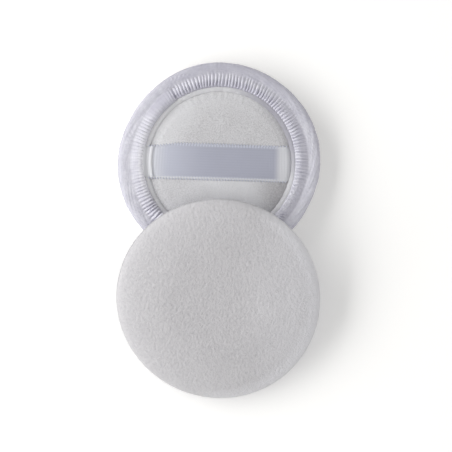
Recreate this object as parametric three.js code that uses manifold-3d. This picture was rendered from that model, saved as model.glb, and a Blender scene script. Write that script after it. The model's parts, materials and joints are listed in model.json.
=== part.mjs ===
// A pair of round powder puffs as they lie on a table. The first lies on its velour face with
// its ribbon side up. The second lies velour side up and leans on the first.
// Each puff is a foam core between a velour face and a gathered satin rim. The rim closes on a
// fabric-covered card disc, and a satin ribbon for the fingers crosses that disc.
// Units are millimetres, +Z is up, and the origin is under the middle of the pair.
import * as THREE from "three";
import { mergeVertices } from "three/addons/utils/BufferGeometryUtils.js";
import Module from "manifold-3d";

const wasm = await Module();
wasm.setup();

// Puff
const PUFF_RADIUS = 35;
const PUFF_THICKNESS = 9; // from the velour face to the crest of the gathers
const SHOULDER_RUN = 9; // how far in from the edge the velour face starts to round over
const SEAM_HEIGHT = 5; // the seam of velour and satin, above the face
const FACE_SWELL = 1.4; // how far a face that nothing presses flat swells out in its middle
const VELOUR_THICKNESS = 1.2;
const SEAM_THREAD_DIAMETER = 0.6;

// Satin rim
const RIM_ROLL_WIDTH = 3.5; // from the puff's edge to the crease outside the gathers
const RIM_CREST_INSET = 2; // the roll's crest, in from the puff's edge
const RIM_CREST_DROP = 0.4; // the roll's crest, below the crest of the gathers
const CREASE_DEPTH = 1; // the crease outside the gathers, below their crest
const GATHER_WIDTH = 4.5;
const GATHER_COUNT = 126;
const GATHER_DEPTH = 0.6;
const GATHER_CREST = 0.8; // the gathers' crest, as a share of the way in to their lip
const LIP_DROP = 1.6; // the inner lip of the gathers, below their crest
const LIP_LENGTH = 1; // how far the lip turns down
const SATIN_THICKNESS = 0.5;
const GATHER_CORD_DIAMETER = 1.2;

// Back
const PIPING_DIAMETER = 1.6;
const BACK_RECESS = 2.2; // the back disc, below the crest of the gathers
const BACK_COVER_THICKNESS = 1.5;
const BACK_MARGIN_THICKNESS = 0.4; // the cover where it runs out under the piping
const BACK_EDGE_ROUND = 1.1;
const BACK_CROWN = 1.2; // how far the padded disc rises from its edge to its middle
const STIFFENER_THICKNESS = 0.8;

// Ribbon
const RIBBON_WIDTH = 12;
const RIBBON_THICKNESS = 0.4;
const RIBBON_SPAN_INSET = 0.5; // the free span's end, in from the flat of the back disc
const TACK_DIAMETER = 0.35;

// Fits between layers
const CLEARANCE = 0.2;

// How the pair lies
const PAIR_SPACING = 47.2; // between the two puffs' centres, along Y
const PAIR_OFFSET = -0.7; // the second puff's centre from the first's, along X
const REST_GAP = 0.3; // between the second puff and the first where it leans

// Facets
const SHOWN_SEGMENTS = 48;
const HIDDEN_SEGMENTS = 24;
const ARC_STEPS = 4;
const ROLL_STEPS = 2;
const CROWN_STEPS = 4;
const PIPING_SIDES = 8;
const THREAD_SIDES = 5;

// Radii and heights that follow from the sizes above, from the velour face up
const creaseRadius = PUFF_RADIUS - RIM_ROLL_WIDTH;
const lipRadius = creaseRadius - GATHER_WIDTH;
const creaseHeight = PUFF_THICKNESS - CREASE_DEPTH;
const lipHeight = PUFF_THICKNESS - LIP_DROP;
const backHeight = PUFF_THICKNESS - BACK_RECESS;
const coverBase = backHeight - BACK_COVER_THICKNESS;
const stiffenerBase = coverBase - CLEARANCE - STIFFENER_THICKNESS;
const coreTop = stiffenerBase - CLEARANCE;
const tabBase = coverBase + BACK_MARGIN_THICKNESS + CLEARANCE;
const tabTop = tabBase + RIBBON_THICKNESS;
const pipingRadius = lipRadius - CLEARANCE - PIPING_DIAMETER / 2;
const pipingHeight = tabTop + CLEARANCE + PIPING_DIAMETER / 2;
const marginRadius = lipRadius - CLEARANCE;
const backRadius = pipingRadius - PIPING_DIAMETER / 2 - CLEARANCE - RIBBON_THICKNESS;
const backFlatRadius = backRadius - BACK_EDGE_ROUND;
const spanRadius = backFlatRadius - RIBBON_SPAN_INSET;
const spanBase = backHeight + CLEARANCE;

const MATERIALS = {
  velour: { color: 0xc6c5c7, roughness: 0.95 },
  foam: { color: 0xe6e2d6, roughness: 0.9 },
  satin: { color: 0xc9c8d6, roughness: 0.35 },
  ribbon: { color: 0xa7a9b8, roughness: 0.32 },
  piping: { color: 0xcbcbce, roughness: 0.6 },
  card: { color: 0xd8d2c4, roughness: 0.9 },
  thread: { color: 0xdcdce2, roughness: 0.6 },
};

// Builders for closed geometry

// A profile of radius and height, turned round Z
function revolve(points, segments) {
  return new THREE.LatheGeometry(points, segments).rotateX(Math.PI / 2);
}

// A path's points. A path splits each of its arcs into twice the number that it is given.
function pointsOf(path) {
  return path.getPoints(ARC_STEPS / 2);
}

function ringOfTube(radius, height, diameter, sides, segments) {
  const section = new THREE.EllipseCurve(radius, height, diameter / 2, diameter / 2);
  return revolve(section.getPoints(sides), segments);
}

// Triangles between two rings of vertices that may differ in count. Both start at angle zero.
function bridge(lower, upper, triangles) {
  let i = 0;
  let j = 0;
  while (i < lower.count || j < upper.count) {
    const a = lower.first + (i % lower.count);
    const b = upper.first + (j % upper.count);
    if (j === upper.count || (i < lower.count && (i + 1) / lower.count <= (j + 1) / upper.count)) {
      triangles.push(a, lower.first + ((i + 1) % lower.count), b);
      i += 1;
    } else {
      triangles.push(a, upper.first + ((j + 1) % upper.count), b);
      j += 1;
    }
  }
}

// A closed skin through a loop of rings. A ring has a radius, a height, a count of points, and
// the depth by which every second point is sunk.
function loftRings(rings) {
  const positions = [];
  const triangles = [];
  const spans = [];
  for (const { radius, height, count, sunk = 0 } of rings) {
    spans.push({ first: positions.length / 3, count });
    for (let k = 0; k < count; k += 1) {
      const angle = (2 * Math.PI * k) / count;
      const z = height - (k % 2 ? sunk : 0);
      positions.push(radius * Math.cos(angle), radius * Math.sin(angle), z);
    }
  }
  spans.forEach((span, k) => bridge(span, spans[(k + 1) % spans.length], triangles));
  const geometry = new THREE.BufferGeometry();
  geometry.setAttribute("position", new THREE.Float32BufferAttribute(positions, 3));
  geometry.setIndex(triangles);
  return geometry;
}

function toSolid(geometry) {
  const bare = geometry.clone();
  bare.deleteAttribute("normal");
  bare.deleteAttribute("uv");
  const merged = mergeVertices(bare);
  return new wasm.Manifold(
    new wasm.Mesh({
      numProp: 3,
      vertProperties: merged.attributes.position.array,
      triVerts: new Uint32Array(merged.index.array),
    }),
  );
}

function toGeometry(solid) {
  const { vertProperties, triVerts } = solid.getMesh();
  const geometry = new THREE.BufferGeometry();
  geometry.setAttribute("position", new THREE.BufferAttribute(vertProperties, 3));
  geometry.setIndex(new THREE.BufferAttribute(triVerts, 1));
  return geometry;
}

// Points of a domed surface from the axis out to where the dome ends
function domed(edgeHeight, rise, reach) {
  return Array.from({ length: CROWN_STEPS + 1 }, (_, k) => {
    const radius = (reach * k) / CROWN_STEPS;
    return new THREE.Vector2(radius, edgeHeight + rise * (1 - (k / CROWN_STEPS) ** 2));
  });
}

// Points of a surface that follows the padded disc's crown, from the axis out to a radius
function crowned(edgeHeight, reach) {
  const left = BACK_CROWN * (1 - (reach / backFlatRadius) ** 2);
  return domed(edgeHeight + left, BACK_CROWN - left, reach);
}

// The part of a round piece that lies under a strip of the ribbon's width along X. A side of 1
// or -1 keeps that half, and 0 keeps the whole strip.
function ribbonStrip(round, side) {
  const length = side ? PUFF_RADIUS : 2 * PUFF_RADIUS;
  const strip = new THREE.BoxGeometry(length, RIBBON_WIDTH, 2 * PUFF_THICKNESS);
  strip.translate((side * PUFF_RADIUS) / 2, 0, PUFF_THICKNESS);
  return toGeometry(toSolid(round).intersect(toSolid(strip)));
}

// Pieces of one puff, face down

// The velour cup. A swell is how far its middle stands out past the flat of the face.
function faceCover(swell) {
  const middle = PUFF_RADIUS - SHOULDER_RUN;
  const innerRun = SHOULDER_RUN - VELOUR_THICKNESS;
  const innerRise = SEAM_HEIGHT - VELOUR_THICKNESS;
  const outside = new THREE.Path();
  outside.absellipse(middle, SEAM_HEIGHT, SHOULDER_RUN, SEAM_HEIGHT, -Math.PI / 2, 0);
  const inside = new THREE.Path();
  inside.absellipse(middle, SEAM_HEIGHT, innerRun, innerRise, 0, -Math.PI / 2, true);
  const points = [
    ...domed(0, -swell, middle).slice(0, -1),
    ...pointsOf(outside),
    ...pointsOf(inside),
    ...domed(VELOUR_THICKNESS, -swell, middle).slice(0, -1).reverse(),
  ];
  return revolve(points, SHOWN_SEGMENTS);
}

function seamThread() {
  const radius = PUFF_RADIUS - VELOUR_THICKNESS - CLEARANCE - SEAM_THREAD_DIAMETER / 2;
  return ringOfTube(radius, SEAM_HEIGHT, SEAM_THREAD_DIAMETER, THREAD_SIDES, HIDDEN_SEGMENTS);
}

// Height of the gathers' crests at a share of the way from the outer crease to the inner lip
function gatherTop(share) {
  if (share > GATHER_CREST) {
    const fall = (share - GATHER_CREST) / (1 - GATHER_CREST);
    return PUFF_THICKNESS - LIP_DROP * fall;
  }
  return creaseHeight + CREASE_DEPTH * Math.sin((Math.PI / 2) * (share / GATHER_CREST));
}

function gatherRing(share) {
  return {
    radius: creaseRadius - GATHER_WIDTH * share,
    height: gatherTop(share),
    sunk: GATHER_DEPTH * Math.sin(Math.PI * share),
  };
}

// The satin's outside as rings of radius and height, from the seam over the roll to the lip
function rimOutline() {
  const seam = SEAM_HEIGHT + CLEARANCE;
  const crest = PUFF_THICKNESS - RIM_CREST_DROP;
  const centre = PUFF_RADIUS - RIM_CREST_INSET;
  const quarter = Math.PI / 2;
  const arc = new THREE.EllipseCurve(centre, seam, RIM_CREST_INSET, crest - seam, 0, quarter);
  return {
    roll: arc.getPoints(ROLL_STEPS).map(({ x, y }) => ({ radius: x, height: y })),
    crease: { radius: creaseRadius, height: creaseHeight },
    gathers: [gatherRing(GATHER_CREST / 2), gatherRing(GATHER_CREST)],
    lip: { radius: lipRadius, height: lipHeight },
  };
}

// The satin's inside, a cloth's thickness below the deepest point of each ring
function satinBelow({ radius, height, sunk = 0 }) {
  return { radius, height: height - sunk - SATIN_THICKNESS };
}

function satinRim() {
  const { roll, crease, gathers, lip } = rimOutline();
  const seam = roll[0];
  const crest = roll[ROLL_STEPS];
  const hem = { radius: lip.radius, height: lip.height - LIP_LENGTH };
  const inside = [
    { radius: hem.radius + SATIN_THICKNESS, height: hem.height },
    { radius: lip.radius + SATIN_THICKNESS, height: lip.height - SATIN_THICKNESS },
    satinBelow(gatherRing(1 / 2)),
    satinBelow(crease),
    satinBelow(crest),
    { radius: seam.radius - SATIN_THICKNESS, height: seam.height },
  ];
  const withCount = (count) => (ring) => ({ ...ring, count });
  return loftRings([
    ...roll.map(withCount(SHOWN_SEGMENTS)),
    ...[crease, ...gathers].map(withCount(2 * GATHER_COUNT)),
    ...[lip, hem].map(withCount(SHOWN_SEGMENTS)),
    ...inside.map(withCount(HIDDEN_SEGMENTS)),
  ]);
}

const cordRadius = creaseRadius - GATHER_WIDTH / 2;
const cordRoom = CLEARANCE + GATHER_CORD_DIAMETER / 2;
const cordHeight = satinBelow(gatherRing(1 / 2)).height - cordRoom;

function gatherCord() {
  return ringOfTube(cordRadius, cordHeight, GATHER_CORD_DIAMETER, THREAD_SIDES, HIDDEN_SEGMENTS);
}

// The foam, which swells with the face
function corePad(swell) {
  const middle = PUFF_RADIUS - SHOULDER_RUN;
  const base = VELOUR_THICKNESS + CLEARANCE;
  const threadSpace = VELOUR_THICKNESS + SEAM_THREAD_DIAMETER + 2 * CLEARANCE;
  const side = PUFF_RADIUS - threadSpace;
  const rise = SEAM_HEIGHT - base;
  const shoulder = cordHeight - cordRoom;
  const recess = lipRadius + SATIN_THICKNESS + CLEARANCE;
  const profile = new THREE.Path();
  profile.absellipse(middle, SEAM_HEIGHT, side - middle, rise, -Math.PI / 2, 0);
  profile.lineTo(creaseRadius, shoulder);
  profile.lineTo(recess, shoulder);
  profile.lineTo(recess, coreTop);
  profile.lineTo(0, coreTop);
  const points = [...domed(base, -swell, middle).slice(0, -1), ...pointsOf(profile)];
  return revolve(points, HIDDEN_SEGMENTS);
}

function stiffener() {
  const top = stiffenerBase + STIFFENER_THICKNESS;
  const profile = new THREE.Path();
  profile.moveTo(0, stiffenerBase);
  profile.lineTo(marginRadius, stiffenerBase);
  profile.lineTo(marginRadius, top);
  profile.lineTo(0, top);
  return revolve(pointsOf(profile), HIDDEN_SEGMENTS);
}

function backCover() {
  const margin = coverBase + BACK_MARGIN_THICKNESS;
  const edgeRise = backHeight - margin;
  const profile = new THREE.Path();
  profile.moveTo(0, coverBase);
  profile.lineTo(marginRadius, coverBase);
  profile.lineTo(marginRadius, margin);
  profile.lineTo(backRadius, margin);
  profile.absellipse(backFlatRadius, margin, BACK_EDGE_ROUND, edgeRise, 0, Math.PI / 2);
  const top = crowned(backHeight, backFlatRadius).slice(0, -1).reverse();
  return revolve([...pointsOf(profile), ...top], SHOWN_SEGMENTS);
}

function piping() {
  return ringOfTube(pipingRadius, pipingHeight, PIPING_DIAMETER, PIPING_SIDES, SHOWN_SEGMENTS);
}

function ribbonSpan() {
  const underside = crowned(spanBase, spanRadius);
  const top = crowned(spanBase + RIBBON_THICKNESS, spanRadius).reverse();
  return ribbonStrip(revolve([...underside, ...top], SHOWN_SEGMENTS), 0);
}

// One end of the ribbon, from the free span down round the disc's edge and out under the piping
function ribbonTab(side) {
  const start = spanRadius + CLEARANCE;
  const spanTop = spanBase + RIBBON_THICKNESS;
  const margin = coverBase + BACK_MARGIN_THICKNESS;
  const innerRun = BACK_EDGE_ROUND + CLEARANCE;
  const innerRise = spanBase - margin;
  const outerRun = innerRun + RIBBON_THICKNESS;
  const outerRise = spanTop - margin;
  const innerFoot = Math.asin((tabBase - margin) / innerRise);
  const outerFoot = Math.asin((tabTop - margin) / outerRise);
  const crown = Math.PI / 2;
  const profile = new THREE.Path();
  profile.moveTo(start, spanBase);
  profile.lineTo(backFlatRadius, spanBase);
  profile.absellipse(backFlatRadius, margin, innerRun, innerRise, crown, innerFoot, true);
  profile.lineTo(pipingRadius, tabBase);
  profile.lineTo(pipingRadius, tabTop);
  profile.absellipse(backFlatRadius, margin, outerRun, outerRise, outerFoot, crown);
  profile.lineTo(start, spanTop);
  profile.lineTo(start, spanBase);
  return ribbonStrip(revolve(pointsOf(profile), SHOWN_SEGMENTS), side);
}

// The bar of stitches across the ribbon's raw end
function ribbonTack(side) {
  const radius = pipingRadius + CLEARANCE / 2 + TACK_DIAMETER / 2;
  const height = tabBase + TACK_DIAMETER / 2;
  const ring = ringOfTube(radius, height, TACK_DIAMETER, THREAD_SIDES, SHOWN_SEGMENTS);
  return ribbonStrip(ring, side);
}

// One puff as a group, each piece named with the puff's own prefix
function buildPuff(prefix, swell) {
  const pieces = [
    ["face_cover", faceCover(swell), "velour"],
    ["core_pad", corePad(swell), "foam"],
    ["seam_thread", seamThread(), "thread"],
    ["satin_rim", satinRim(), "satin"],
    ["gather_cord", gatherCord(), "thread"],
    ["piping", piping(), "piping"],
    ["back_cover", backCover(), "velour"],
    ["stiffener_disc", stiffener(), "card"],
    ["ribbon_span", ribbonSpan(), "ribbon"],
    ["ribbon_tab_left", ribbonTab(-1), "ribbon"],
    ["ribbon_tab_right", ribbonTab(1), "ribbon"],
    ["ribbon_tack_left", ribbonTack(-1), "thread"],
    ["ribbon_tack_right", ribbonTack(1), "thread"],
  ];
  const puff = new THREE.Group();
  for (const [name, geometry, material] of pieces) {
    const finish = new THREE.MeshStandardMaterial({ ...MATERIALS[material], metalness: 0 });
    const mesh = new THREE.Mesh(geometry, finish);
    mesh.name = `${prefix}_${name}`;
    puff.add(mesh);
  }
  return puff;
}

// How the second puff leans. Turned over and tilted by the lean about X, its far edge stands on
// the table and its back comes to rest on the first puff's rim.

const { roll, crease, gathers, lip } = rimOutline();
const rimSection = [...roll, crease, ...gathers, lip];
const backSection = [
  ...rimSection,
  { radius: pipingRadius, height: pipingHeight + PIPING_DIAMETER / 2 },
  ...crowned(backHeight, backFlatRadius)
    .reverse()
    .map(({ x, y }) => ({ radius: x, height: y })),
];

function topOfFirst(radius) {
  const outer = backSection.findIndex((point) => point.radius <= radius);
  if (outer === 0) return 0;
  const [a, b] = [backSection[outer - 1], backSection[outer]];
  const share = (a.radius - radius) / (a.radius - b.radius);
  return a.height + (b.height - a.height) * share;
}

function placeSecond(lean) {
  const deepest = Math.max(
    ...rimSection.map((p) => p.radius * Math.sin(lean) + p.height * Math.cos(lean)),
  );
  const middle = (PUFF_THICKNESS / 2) * Math.sin(lean);
  return new THREE.Vector3(PAIR_OFFSET, -PAIR_SPACING - middle, deepest);
}

// The section's points with more between them, so that no ridge slips through
const SECTION_SPLITS = 8;
const fineSection = backSection.slice(1).flatMap((b, k) => {
  const a = backSection[k];
  return Array.from({ length: SECTION_SPLITS }, (_, step) => {
    const share = step / SECTION_SPLITS;
    return {
      radius: a.radius + (b.radius - a.radius) * share,
      height: a.height + (b.height - a.height) * share,
    };
  });
});

function gapAt(lean) {
  const steps = 4 * SHOWN_SEGMENTS;
  const place = placeSecond(lean);
  const turn = new THREE.Euler(lean, Math.PI, 0);
  let least = Infinity;
  for (const { radius, height } of fineSection) {
    for (let k = 0; k < steps; k += 1) {
      const angle = (2 * Math.PI * k) / steps;
      const point = new THREE.Vector3(radius * Math.cos(angle), radius * Math.sin(angle), height);
      point.applyEuler(turn).add(place);
      const under = topOfFirst(Math.hypot(point.x, point.y));
      if (under > 0) least = Math.min(least, point.z - under);
    }
  }
  return least;
}

function findLean() {
  let low = 0;
  let high = Math.PI / 4;
  const halvings = 40;
  for (let k = 0; k < halvings; k += 1) {
    const lean = (low + high) / 2;
    if (gapAt(lean) < REST_GAP) low = lean;
    else high = lean;
  }
  return high;
}

// The pair

const lean = findLean();
const first = buildPuff("under", 0);
const second = buildPuff("over", FACE_SWELL);
second.rotation.set(lean, Math.PI, 0);
second.position.copy(placeSecond(lean));

const pair = new THREE.Group();
pair.add(first, second);

// The origin goes under the middle of the pair
pair.updateMatrixWorld(true);
const middle = new THREE.Box3().setFromObject(pair, true).getCenter(new THREE.Vector3());
for (const puff of [first, second]) {
  puff.position.x -= middle.x;
  puff.position.y -= middle.y;
}

export default pair;
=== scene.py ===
"""Looks for a pair of round powder puffs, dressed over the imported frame.

The first puff lies on its velour face with its ribbon side up. The second lies
velour side up and leans on the first. A puff is made in its own frame, in
millimetres: the middle of its velour face is the origin, X runs along the ribbon
and Z runs from the face to the back. Each mesh is then moved to the row frame, in
metres.
"""

from __future__ import annotations

import json
import logging
import math
from collections.abc import Callable
from dataclasses import dataclass, field
from enum import Enum

import bpy
import numpy as np
from mathutils import Matrix, Vector

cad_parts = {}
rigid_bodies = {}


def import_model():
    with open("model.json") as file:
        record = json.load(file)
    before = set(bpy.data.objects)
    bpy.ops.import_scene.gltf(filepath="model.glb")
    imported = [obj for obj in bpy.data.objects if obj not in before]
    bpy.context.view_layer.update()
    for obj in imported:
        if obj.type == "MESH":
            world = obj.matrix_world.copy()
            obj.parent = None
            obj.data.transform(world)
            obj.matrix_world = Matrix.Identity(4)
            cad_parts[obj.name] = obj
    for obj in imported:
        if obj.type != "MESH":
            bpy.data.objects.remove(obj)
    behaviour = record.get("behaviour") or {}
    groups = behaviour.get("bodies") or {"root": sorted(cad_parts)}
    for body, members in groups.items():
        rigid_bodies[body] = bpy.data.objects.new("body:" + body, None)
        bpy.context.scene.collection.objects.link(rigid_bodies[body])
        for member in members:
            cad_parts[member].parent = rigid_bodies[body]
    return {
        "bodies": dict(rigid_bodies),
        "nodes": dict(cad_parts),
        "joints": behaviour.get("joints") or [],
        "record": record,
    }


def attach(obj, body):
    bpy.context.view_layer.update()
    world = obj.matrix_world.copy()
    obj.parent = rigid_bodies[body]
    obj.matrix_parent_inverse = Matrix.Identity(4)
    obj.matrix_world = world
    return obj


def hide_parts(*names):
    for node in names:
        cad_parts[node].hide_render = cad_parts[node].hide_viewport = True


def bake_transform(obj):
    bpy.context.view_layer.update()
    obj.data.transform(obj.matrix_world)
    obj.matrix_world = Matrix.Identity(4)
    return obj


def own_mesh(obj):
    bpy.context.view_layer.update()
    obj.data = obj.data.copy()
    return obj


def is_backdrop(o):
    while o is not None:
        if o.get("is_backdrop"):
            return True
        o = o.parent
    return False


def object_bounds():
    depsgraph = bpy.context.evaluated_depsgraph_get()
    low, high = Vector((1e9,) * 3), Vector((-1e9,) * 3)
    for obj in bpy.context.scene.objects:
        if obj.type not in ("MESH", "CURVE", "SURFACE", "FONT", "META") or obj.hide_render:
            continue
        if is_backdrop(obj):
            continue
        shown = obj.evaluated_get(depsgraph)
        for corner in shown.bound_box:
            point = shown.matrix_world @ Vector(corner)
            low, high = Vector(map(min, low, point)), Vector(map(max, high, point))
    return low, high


LOG = logging.getLogger("puffs")
MM = 0.001
TURN = 2 * math.pi
QUARTER = math.pi / 2
SEAM_HEIGHT = 5.0  # the side seam of a puff, in millimetres from the flat of its face
SOFT_FROM, SOFT_TO = 27.0, 35.0  # radii between which a puff goes out of round

Socket = bpy.types.NodeSocket
Tree = bpy.types.NodeTree
Mesh = bpy.types.Mesh
Thing = bpy.types.Object
Colour = tuple[float, float, float]
Keys = tuple[tuple[float, float], ...]
Lobes = tuple[tuple[int, float, float], ...]


# Node trees


class Slot(Enum):
    """Kinds of socket on a node group."""

    NUMBER = "NodeSocketFloat"
    COUNT = "NodeSocketInt"
    COLOUR = "NodeSocketColor"
    VECTOR = "NodeSocketVector"
    THING = "NodeSocketObject"
    FINISH = "NodeSocketMaterial"
    MESH = "NodeSocketGeometry"

    def each(self, *names: str) -> dict[str, Slot]:
        """A socket of this kind for each name."""
        return dict.fromkeys(names, self)


def socket_of(sockets: bpy.types.bpy_prop_collection, name: str) -> Socket:
    """Finds the live socket of a name, since a node may keep unused ones of that name."""
    return next(s for s in sockets if s.name == name and s.enabled)


def operator(operation: str, swapped: bool = False) -> Callable[..., Field]:
    """A method of Field that does one step of arithmetic.

    Args:
        operation: Blender's name for the step.
        swapped: True where the other number comes first.

    Returns:
        The method.
    """

    def method(self: Field, *others: Field | float) -> Field:
        """Does the step."""
        values = (*others, self) if swapped else (self, *others)
        return self.sketch.math(operation, *values)

    return method


class Field:
    """One number of a node tree, which can be used in sums like a plain number."""

    def __init__(self, sketch: Sketch, socket: Socket) -> None:
        """Holds a socket of a sketch's tree."""
        self.sketch = sketch
        self.socket = socket

    __add__ = __radd__ = operator("ADD")
    __sub__ = operator("SUBTRACT")
    __rsub__ = operator("SUBTRACT", swapped=True)
    __mul__ = operator("MULTIPLY")
    __truediv__ = operator("DIVIDE")
    __rtruediv__ = operator("DIVIDE", swapped=True)
    __pow__ = operator("POWER")
    sin = operator("SINE")
    cos = operator("COSINE")
    size = operator("ABSOLUTE")

    def smooth(self, low: Field | float, high: Field | float) -> Field:
        """Rises smoothly from 0 at low to 1 at high."""
        settings = {"interpolation_type": "SMOOTHSTEP"}
        return self.sketch.number(
            "ShaderNodeMapRange", settings, Value=self, From_Min=low, From_Max=high
        )


class Sketch:
    """Writes a node tree in short lines."""

    def __init__(self, tree: Tree) -> None:
        """Starts on a tree."""
        self.tree = tree

    @classmethod
    def group(cls, name: str, takes: dict[str, Slot], gives: dict[str, Slot]) -> Sketch:
        """Starts a node group, for geometry where it gives a mesh and else for shaders.

        Args:
            name: The group's name.
            takes: Named inputs.
            gives: Named outputs.

        Returns:
            A sketch on the new group.
        """
        kind = "GeometryNodeTree" if Slot.MESH in gives.values() else "ShaderNodeTree"
        tree = bpy.data.node_groups.new(name, kind)
        for side, sockets in (("INPUT", takes), ("OUTPUT", gives)):
            for label, slot in sockets.items():
                tree.interface.new_socket(label, in_out=side, socket_type=slot.value)
        sketch = cls(tree)
        sketch.entry = tree.nodes.new("NodeGroupInput")
        sketch.exit = tree.nodes.new("NodeGroupOutput")
        return sketch

    def put(self, socket: Socket, value: object) -> None:
        """Links a field or a socket to a socket, or sets a plain value on it."""
        if isinstance(value, Field):
            value = value.socket
        if isinstance(value, Socket):
            self.tree.links.new(value, socket)
        else:
            socket.default_value = value

    def add(
        self, kind: str, settings: dict[str, object] | None = None, **inputs: object
    ) -> bpy.types.Node:
        """Adds a node.

        Args:
            kind: Blender's type of node.
            settings: The node's own properties.
            inputs: What goes into its sockets, with underscores for spaces.

        Returns:
            The node.
        """
        node = self.tree.nodes.new(kind)
        for key, value in (settings or {}).items():
            setattr(node, key, value)
        for name, value in inputs.items():
            self.put(socket_of(node.inputs, name.replace("_", " ")), value)
        return node

    def out(
        self, kind: str, settings: dict[str, object] | None = None, **inputs: object
    ) -> Socket:
        """Adds a node and gives its first live output."""
        return next(s for s in self.add(kind, settings, **inputs).outputs if s.enabled)

    def number(
        self, kind: str, settings: dict[str, object] | None = None, **inputs: object
    ) -> Field:
        """Adds a node and gives its first live output as a number."""
        return Field(self, self.out(kind, settings, **inputs))

    def math(self, operation: str, *values: Field | float) -> Field:
        """One step of arithmetic on numbers and fields."""
        node = self.add("ShaderNodeMath", {"operation": operation})
        for socket, value in zip(node.inputs, values):
            self.put(socket, value)
        return Field(self, node.outputs[0])

    def take(self, label: str) -> Field:
        """One of the group's inputs."""
        return Field(self, self.entry.outputs[label])

    def give(self, label: str, value: object) -> None:
        """Feeds one of the group's outputs."""
        self.put(self.exit.inputs[label], value)

    def vector(self, x: Field | float, y: Field | float, z: Field | float) -> Socket:
        """A vector from its three parts."""
        return self.out("ShaderNodeCombineXYZ", X=x, Y=y, Z=z)

    def parts(self, vector: Socket | Field) -> list[Field]:
        """The three parts of a vector."""
        node = self.add("ShaderNodeSeparateXYZ", Vector=vector)
        return [Field(self, socket) for socket in node.outputs]

    def here(self) -> list[Field]:
        """The three parts of a point's place."""
        return self.parts(self.out("GeometryNodeInputPosition"))

    def noise(
        self,
        vector: Socket | Field,
        scale: Field | float,
        detail: float = 2.0,
        roughness: float = 0.5,
    ) -> Field:
        """Soft noise from 0 to 1 at a place."""
        return self.number(
            "ShaderNodeTexNoise", Vector=vector, Scale=scale, Detail=detail, Roughness=roughness
        )

    def scaled(self, vector: Socket, scale: Field | float) -> Socket:
        """A vector times a number."""
        return self.out(
            "ShaderNodeVectorMath", {"operation": "SCALE"}, Vector=vector, Scale=scale
        )

    def mixed(self, mask: Field, colour: Socket | Field, other: object) -> Socket:
        """Mixes another colour in where a mask is 1."""
        settings = {"data_type": "RGBA", "clamp_factor": True}
        return self.out("ShaderNodeMix", settings, Factor=mask, A=colour, B=other)

    def named(self, name: str, kind: str = "FLOAT") -> Socket:
        """An attribute of the mesh."""
        return self.out("GeometryNodeInputNamedAttribute", {"data_type": kind}, Name=name)

    def store(self, mesh: Socket, name: str, value: Field | Socket) -> Socket:
        """Stores a number at each point of a mesh, or a cloth map at each corner."""
        kind, domain = ("FLOAT", "POINT") if isinstance(value, Field) else ("FLOAT2", "CORNER")
        settings = {"data_type": kind, "domain": domain}
        return self.out(
            "GeometryNodeStoreNamedAttribute", settings, Geometry=mesh, Name=name, Value=value
        )

    def end(self, mesh: Socket) -> Tree:
        """Ends a geometry tree: real meshes, smooth faces and the finish it was given."""
        real = self.out("GeometryNodeRealizeInstances", Geometry=mesh)
        smooth = self.out("GeometryNodeSetShadeSmooth", Geometry=real)
        finish = self.take("Finish")
        self.give("Mesh", self.out("GeometryNodeSetMaterial", Geometry=smooth, Material=finish))
        return self.tree


GIVES_MESH = {"Mesh": Slot.MESH}
# Stretches of a gathered ring: Away, Crest and Dip carry painted shade and Pale carries painted
# light; Tuck, Slack and Ease shape the cloth, and the tuck and slack take painted shade as well.
STRETCHES = ("Tuck", "Slack", "Ease", "Away", "Crest", "Dip", "Pale")


def stretch(name: str, angle: float, width: float, amount: float) -> dict[str, float]:
    """A gathered ring's inputs for one of its stretches: its middle and half width in degrees."""
    return {
        f"{name} angle": math.radians(angle),
        f"{name} width": math.radians(width),
        f"{name} amount": amount,
    }


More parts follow.
